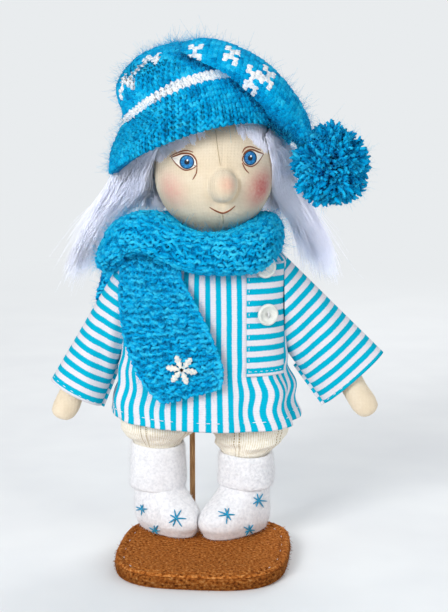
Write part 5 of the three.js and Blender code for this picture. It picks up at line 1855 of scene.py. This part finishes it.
def face_line(tree, points, radius, taper):
    """A painted line through points of the face's plane, as a thin strand on the head."""
    places = along(points, np.linspace(0, 1, 22))
    path = np.array([on_head(tree, x, level, 0.05) for x, level in places])
    t = np.linspace(0, 1, len(path))
    radii = radius * (1 - taper * np.abs(2 * t - 1) ** 2)
    return tubes(path[None], radii[None], 6)


def face_patch(name, tree, centre, outline, material, height):
    """A painted patch on the head, from its centre to an outline; its texture runs round and outwards."""
    rings = 8
    count = len(outline)
    points = []
    for ring in range(rings + 1):
        share = max(ring / rings, 0.02)
        for x, level in centre + (outline - centre) * share:
            points.append(on_head(tree, x, level, height))
    made = make_object(name, points, grid(rings + 1, count, False, True), material)
    corner_rows, corner_columns = grid_corners(rings + 1, count, False, True)
    set_uv(made, np.stack([corner_columns / count, corner_rows / rings], -1))
    return dress(made, "head", "linen")


def oval(centre, wide, tall, count=28):
    angle = TURN * np.arange(count) / count
    return np.stack([centre[0] + wide * np.cos(angle), centre[1] + tall * np.sin(angle)], -1)


# Each eye: its middle, and outlines of lids, crease and lower fold as offsets from it
EYES = {
    "right": {
        "middle": (-8.1, 210.2),
        "iris": (3.7, 3.6),
        "lid": [(-7.9, 2.3), (-5.2, 3.3), (-2.0, 4.3), (2.1, 3.9), (4.5, 1.1), (5.0, -2.5)],
        "lower": [(-7.9, 2.3), (-5.4, -1.0), (-1.5, -3.9), (2.1, -3.6), (4.9, -1.8)],
        "crease": [(-8.6, 2.6), (-5.2, 4.5), (-0.6, 5.8), (3.2, 4.9)],
        "fold": [(5.0, -2.5), (4.6, -5.7), (2.8, -8.9)],
    },
    "left": {
        "middle": (23.6, 212.2),
        "iris": (3.3, 3.7),
        "lid": [(-4.0, -1.2), (-2.7, 2.6), (0.6, 4.2), (4.3, 2.9), (6.7, 2.0)],
        "lower": [(-4.0, -0.9), (-2.5, -3.2), (0.6, -4.2), (3.8, -2.3), (6.7, 2.0)],
        "crease": [(-3.9, 2.7), (-2.5, 5.0), (0.6, 5.6), (5.4, 3.8)],
        "fold": [(-4.0, -2.3), (-2.5, -5.5), (-0.5, -7.7)],
    },
}
GLINT_OFFSET = (0.3, 0.9)
GLINT_SIZE = (0.42, 0.5)
# Heights of the layers of paint over the linen
PAINT_HEIGHTS = {"white": 0.08, "iris": 0.16, "glint": 0.26}
LINE_RADII = {"lid": 0.5, "lower": 0.4, "crease": 0.38, "fold": 0.34}
LID_POINTS = 14
MOUTH = [(3.1, 187.4), (6.2, 185.6), (9.9, 184.4), (13.2, 185.7), (16.2, 188.1)]
SEAMS = [[(6.3, 226), (7.2, 218), (8.6, 208.5)], [(9.8, 184), (10, 182), (10, 179)]]
# Pink on the face: place in the face's plane, radius, strength and colour
CHEEKS = [
    (-16.5, 196.0, 15.0, 0.55, "f0a296"),
    (29.5, 197.0, 16.0, 0.95, "d2746e"),
    (13.0, 199.0, 7.5, 0.6, "e6a994"),
]


def build_face(head, tree):
    paint_cheeks(head, tree)
    lines = [face_line(tree, MOUTH, 0.48, 0.6)]
    for side, eye in EYES.items():
        middle = np.array(eye["middle"])
        lid, lower = (along(eye[part], np.linspace(0, 1, LID_POINTS)) for part in ("lid", "lower"))
        almond = middle + np.concatenate([lid, lower[::-1]])
        face_patch(f"{side}_eye_white", tree, middle, almond, eye_white, PAINT_HEIGHTS["white"])
        iris = oval(middle, *eye["iris"])
        face_patch(f"{side}_iris", tree, middle, iris, iris_paint, PAINT_HEIGHTS["iris"])
        spark = middle + GLINT_OFFSET
        face_patch(f"{side}_glint", tree, spark, oval(spark, *GLINT_SIZE), glint, PAINT_HEIGHTS["glint"])
        for part, radius in LINE_RADII.items():
            lines.append(face_line(tree, middle + np.array(eye[part]), radius, 0.55))
    dress(make_object("face_lines", *joined(lines), face_paint), "head", "linen")
    seams = [face_line(tree, line, 0.2, 0.3) for line in SEAMS]
    dress(make_object("face_seams", *joined(seams), seam_thread), "head", "linen")


# Locks of hair: guide lines from root to tip for both edges, with y counted from the doll's axis, the number
# of strands, and how they crowd towards the outer edge (below 1) or the inner one (above 1)
LOCKS = {
    "right": {
        "inner": [
            (-22, -16, 218), (-26, -12, 204), (-29, -1, 190), (-40, 19, 179), (-50, 26, 166), (-58, 28, 147),
        ],
        "outer": [
            (-44, 8, 212), (-49, 10, 200), (-55, 16, 190), (-62, 21, 177), (-70, 23, 160), (-77, 24, 142),
        ],
        "count": 3200,
        "crowd": 0.8,
        "seed": 81,
    },
    "left": {
        "inner": [(33, -16, 224), (36, -12, 208), (37, -2, 192), (44, 14, 180), (50, 21, 166), (54, 23, 150)],
        "outer": [(43, 4, 220), (46, 6, 207), (52, 11, 193), (61, 17, 176), (70, 20, 158), (76, 21, 140)],
        "count": 2800,
        "crowd": 1.1,
        "seed": 91,
    },
}
# Hair at the temples, for the doll's right; its left has the same on the other side of the head
TEMPLE_INNER = [(-29, -15, 217), (-32.5, -5, 206), (-31.2, 2, 196), (-28.6, 5, 187), (-25.6, 9, 178)]
TEMPLE_OUTER = [(-42, 2, 214), (-46, 6, 204), (-48, 12, 195), (-47, 17, 187), (-45, 21, 180)]
LOCK_STEPS = 12
LOCK_TUFTS = 70
LOCK_WISP = 3.0
LOCK_DEPTH = 6.0
TEMPLE_STRANDS = 1000
TEMPLE_TUFTS = 40
TEMPLE_WISP = 1.0
TEMPLE_DEPTH = 3.0
TUFT_PULL = 0.75
STRAND_RADIUS = 0.16
STRAND_SIDES = 3
STRAY_RADIUS = 0.1
STRAY_DEPTH = 7.0
STRAY_HAIRS = 280
STRAY_REACH = 8.5
# Two levels on the head's axis, given for the hair that rests
HAIR_FREE = 195
HAIR_RESTS = 175
# Hair at the back: how many strands, where it starts, and how low its tips reach
BACK_STRANDS = 2600
BACK_RADIUS = 0.2
BACK_STEPS = 8
BACK_TOP = 209
BACK_LOW = (175, 186)
BACK_LIFT = 6
FRINGE_TUFTS = 34
FRINGE_STEPS = 8
FRINGE_HEIGHTS = (0.3, 1.6)
# Fringe: root and tip lines in pixels of the photograph, and the number of strands
FRINGES = [
    ([(206, 126), (190, 130), (168, 142), (154, 150)],
     [(205, 133), (194, 141), (176, 150), (157, 163)], 700),
    ([(232, 120), (250, 122), (268, 126), (279, 136)],
     [(240, 134), (256, 143), (268, 158), (274, 184)], 900),
]


def strands(name, paths, radius, shade, seed, rests=True):
    """Hair along paths of points, thinner towards the tips; when rests is false it moves with the head."""
    rng = np.random.default_rng(seed)
    count, steps, _ = paths.shape
    taper = np.interp(np.linspace(0, 1, steps), [0, 0.6, 1], [1, 0.9, 0.25])
    radii = radius * rng.uniform(0.7, 1.2, (count, 1)) * taper
    made = make_object(name, *tubes(paths, radii, STRAND_SIDES), white_hair)
    set_value(made, "shade", np.repeat(shade, steps * STRAND_SIDES))
    if not rests:
        return dress(made, "head", "white_hair")
    free = np.array([HEAD_X, DOLL_Y, HAIR_FREE])
    resting = np.array([HEAD_X, DOLL_Y, HAIR_RESTS])
    bend(made, "head", "standing_doll", free, resting, "white_hair")
    return made


def lock(inner, outer, thickness, count, tufts, wisp, seed, crowd):
    """Strands between two guide lines, drawn together in tufts that fan out to their tips."""
    rng = np.random.default_rng(seed)
    tuft = rng.integers(0, tufts, count)
    tuft_place = rng.random((tufts, 1, 1)) ** crowd
    tuft_depth = rng.uniform(-1, 1, (tufts, 1, 1))
    tuft_stray = rng.normal(0, wisp, (tufts, 1, 3))
    tuft_shade = rng.random(tufts)
    end = rng.uniform(0.72, 1.04, (count, 1)) * rng.uniform(0.82, 1.0, tufts)[tuft][:, None]
    t = end * np.linspace(0, 1, LOCK_STEPS)
    near, far = (along(np.array(guide) + (0, DOLL_Y, 0), t) for guide in (inner, outer))
    t = t[..., None]
    drawn = TUFT_PULL * np.sqrt(t)
    s = rng.random((count, 1, 1)) ** crowd
    s = s + (tuft_place[tuft] - s) * drawn
    d = rng.uniform(-1, 1, (count, 1, 1))
    d = d + (tuft_depth[tuft] - d) * drawn
    stray = (tuft_stray[tuft] + rng.normal(0, wisp / 3, (count, 1, 3))) * t ** 2
    ripple = rng.normal(0, 0.5, (count, 1, 3))
    ripple = ripple * np.sin(TURN * (t * rng.uniform(0.8, 1.8, (count, 1, 1)) + 0.1))
    across = np.array([0.2, 1, 0.3]) * thickness * (1 - 0.5 * t)
    paths = near + (far - near) * s + across * d + stray + ripple
    return paths, 0.6 * tuft_shade[tuft] + 0.4 * rng.random(count)


def build_lock(side, inner, outer, count, crowd, seed):
    """A lock of hair with its tufts, and single long hairs that stray from it."""
    paths, shade = lock(inner, outer, LOCK_DEPTH, count, LOCK_TUFTS, LOCK_WISP, seed, crowd)
    hair = strands(f"{side}_hair_strands", paths, STRAND_RADIUS, shade, seed + 2)
    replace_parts(hair, f"{side}_hair")
    paths, shade = lock(inner, outer, STRAY_DEPTH, STRAY_HAIRS, STRAY_HAIRS, STRAY_REACH, seed + 1, crowd)
    strands(f"{side}_stray_hair", paths, STRAY_RADIUS, shade, seed + 3)
    toward = (1 if side == "right" else -1, 1, 1)
    near, far = (np.array(line) * toward + (HEAD_X, 0, 0) for line in (TEMPLE_INNER, TEMPLE_OUTER))
    paths, shade = lock(near, far, TEMPLE_DEPTH, TEMPLE_STRANDS, TEMPLE_TUFTS, TEMPLE_WISP, seed + 4, 1.0)
    strands(f"{side}_temple_hair", paths, STRAND_RADIUS, shade, seed + 5)


def build_hair(tree):
    for side, guide in LOCKS.items():
        build_lock(side, **guide)
    build_back_hair()
    build_fringe(tree)


def build_back_hair():
    """Hair that hangs over the back of the head, with higher tips at the doll's right."""
    rng = np.random.default_rng(85)
    count = BACK_STRANDS
    turn = rng.uniform(0.04, 0.48, (count, 1))
    depth = rng.random((count, 1))
    t = np.linspace(0, 1, BACK_STEPS)
    reach = 33 + 5 * depth + (4 + 4 * depth) * t ** 1.5
    low = rng.uniform(*BACK_LOW, (count, 1)) + BACK_LIFT * np.clip((turn - 0.34) / 0.1, 0, 1)
    paths = np.stack([
        HEAD_X + reach * np.cos(TURN * turn + 0.1 * t),
        DOLL_Y + reach * np.sin(TURN * turn + 0.1 * t),
        BACK_TOP + (low - BACK_TOP) * t,
    ], -1)
    paths = paths + rng.normal(0, 0.5, (count, BACK_STEPS, 3)) * t[:, None]
    shade = 0.5 + 0.5 * np.sin(40 * turn[:, 0]) * np.sin(97 * turn[:, 0])
    shade = 0.5 * shade + 0.5 * rng.random(count)
    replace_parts(strands("back_hair_strands", paths, BACK_RADIUS, shade, 86), "back_hair")


def build_fringe(tree):
    """The wig's edge: hair that lies on the head, combed from under the brim to both temples."""
    rng = np.random.default_rng(87)
    t = np.linspace(0, 1, FRINGE_STEPS)
    paths = []
    for roots, tips, count in FRINGES:
        s = rng.random(count) ** 0.8
        tuft = (s * FRINGE_TUFTS).astype(int)
        ragged = rng.normal(0, 1.6, (FRINGE_TUFTS, 2))[tuft]
        start = along(roots, s)
        end = along(tips, s) + rng.normal(0, 0.9, (count, 2)) + ragged
        for root, tip in zip(start, end):
            heights = rng.uniform(*FRINGE_HEIGHTS) * (1 - 0.7 * t)
            path = [seen_at(tree, *(root + (tip - root) * share)) for share in t]
            if all(place is not None for place in path):
                paths.append([seated(tree, *placed) for placed in zip(path, heights)])
    # Painted light: the fringe's strands take lighter shades than the rest of the hair, against the brim's
    # shadow
    shade = rng.beta(3, 1.2, len(paths))
    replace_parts(strands("wig", np.array(paths), STRAND_RADIUS, shade, 88, rests=False), "wig_cap")


# Stage, light and camera: places and sizes in metres
BACKDROP = "e9ecee"
FADE_START = 0.25
FADE_END = 1.1
FLOOR_REACH = 30
AIM = (0, 0.03, 0.14)
# Each lamp's place, size and power
LAMPS = {
    "key": ((-0.6, -0.95, 0.62), 0.45, 11.2),
    "fill": ((0.8, -0.7, 0.35), 0.8, 3.0),
    "back": ((0.3, 0.9, 0.8), 0.6, 5.0),
}
WORLD_LIGHT = (0.95, 0.97, 1.0, 1)
WORLD_STRENGTH = 0.5
SENSOR_WIDTH = 36


def build_stage():
    """A plain floor that fades into the pale backdrop away from the doll."""
    floor = Finish("pale_floor", 0.8)
    floor.colour(floor.ramp(floor.noise(60), [(0.3, "e8eaec"), (0.7, "eef0f1")]))
    away = floor.add("ShaderNodeVectorMath", {0: floor.coordinates()}, operation="LENGTH").outputs["Value"]
    far = floor.range(away, FADE_START, FADE_END, smooth=True)
    glow = floor.add("ShaderNodeEmission", {"Color": tone(BACKDROP), "Strength": floor.seen_directly()})
    floor.show(floor.add("ShaderNodeMixShader", {0: far, 1: floor.shader.outputs[0], 2: glow.outputs[0]}))
    reach = FLOOR_REACH / MM
    points = [(x, y, 0) for y in (-reach, reach) for x in (-reach, reach)]
    make_object("floor", points, grid(2, 2, False, False), floor.material)


def add_lamp(name, place, size, power):
    lamp = bpy.data.lights.new(name, "AREA")
    lamp.energy = power
    lamp.size = size
    made = bpy.data.objects.new(name, lamp)
    made.location = place
    made.rotation_euler = (Vector(AIM) - Vector(place)).to_track_quat("-Z", "Y").to_euler()
    bpy.context.scene.collection.objects.link(made)


def build_light():
    """Even light from all sides with three lamps; the backdrop that is seen is paler than that light."""
    scene = bpy.context.scene
    scene.world = bpy.data.worlds.new("studio")
    sky = Nodes(scene.world, "World Output")
    light = sky.tree.nodes["Background"]
    light.inputs["Color"].default_value = WORLD_LIGHT
    light.inputs["Strength"].default_value = WORLD_STRENGTH
    backdrop = sky.add("ShaderNodeBackground", {"Color": tone(BACKDROP)})
    both = {0: sky.seen_directly(), 1: light.outputs[0], 2: backdrop.outputs[0]}
    sky.show(sky.add("ShaderNodeMixShader", both))
    for name, (place, size, power) in LAMPS.items():
        add_lamp(name, place, size, power)
    scene.view_settings.view_transform = "Standard"


def build_camera():
    lens = bpy.data.cameras.new("photo_camera")
    lens.sensor_width = SENSOR_WIDTH
    lens.lens = FOCAL_PIXELS / IMAGE_HEIGHT * lens.sensor_width
    lens.clip_start = 0.01
    made = bpy.data.objects.new("photo_camera", lens)
    made.location = Vector(CAMERA_PLACE) * MM
    made.rotation_euler = (math.pi / 2 - CAMERA_PITCH, 0, 0)
    bpy.context.scene.collection.objects.link(made)
    bpy.context.scene.camera = made


build_camera()
build_light()
build_stage()
build_stand()
build_torso()
for leg_side in ("left", "right"):
    build_leg(leg_side)
build_trousers()
build_shirt()
for arm_side in ("left", "right"):
    build_arm(arm_side)
    build_sleeve(arm_side)
build_placket()
build_button("upper_button", "collar_button")
build_button("lower_button", "chest_button")
build_scarf_wrap()
build_scarf_ends()
build_snowflake()
stuffed_head = build_head()
face_tree = head_tree(stuffed_head)
build_face(stuffed_head, face_tree)
build_hat()
build_tail()
build_pompom()
build_hair(face_tree)

bpy.context.view_layer.update()
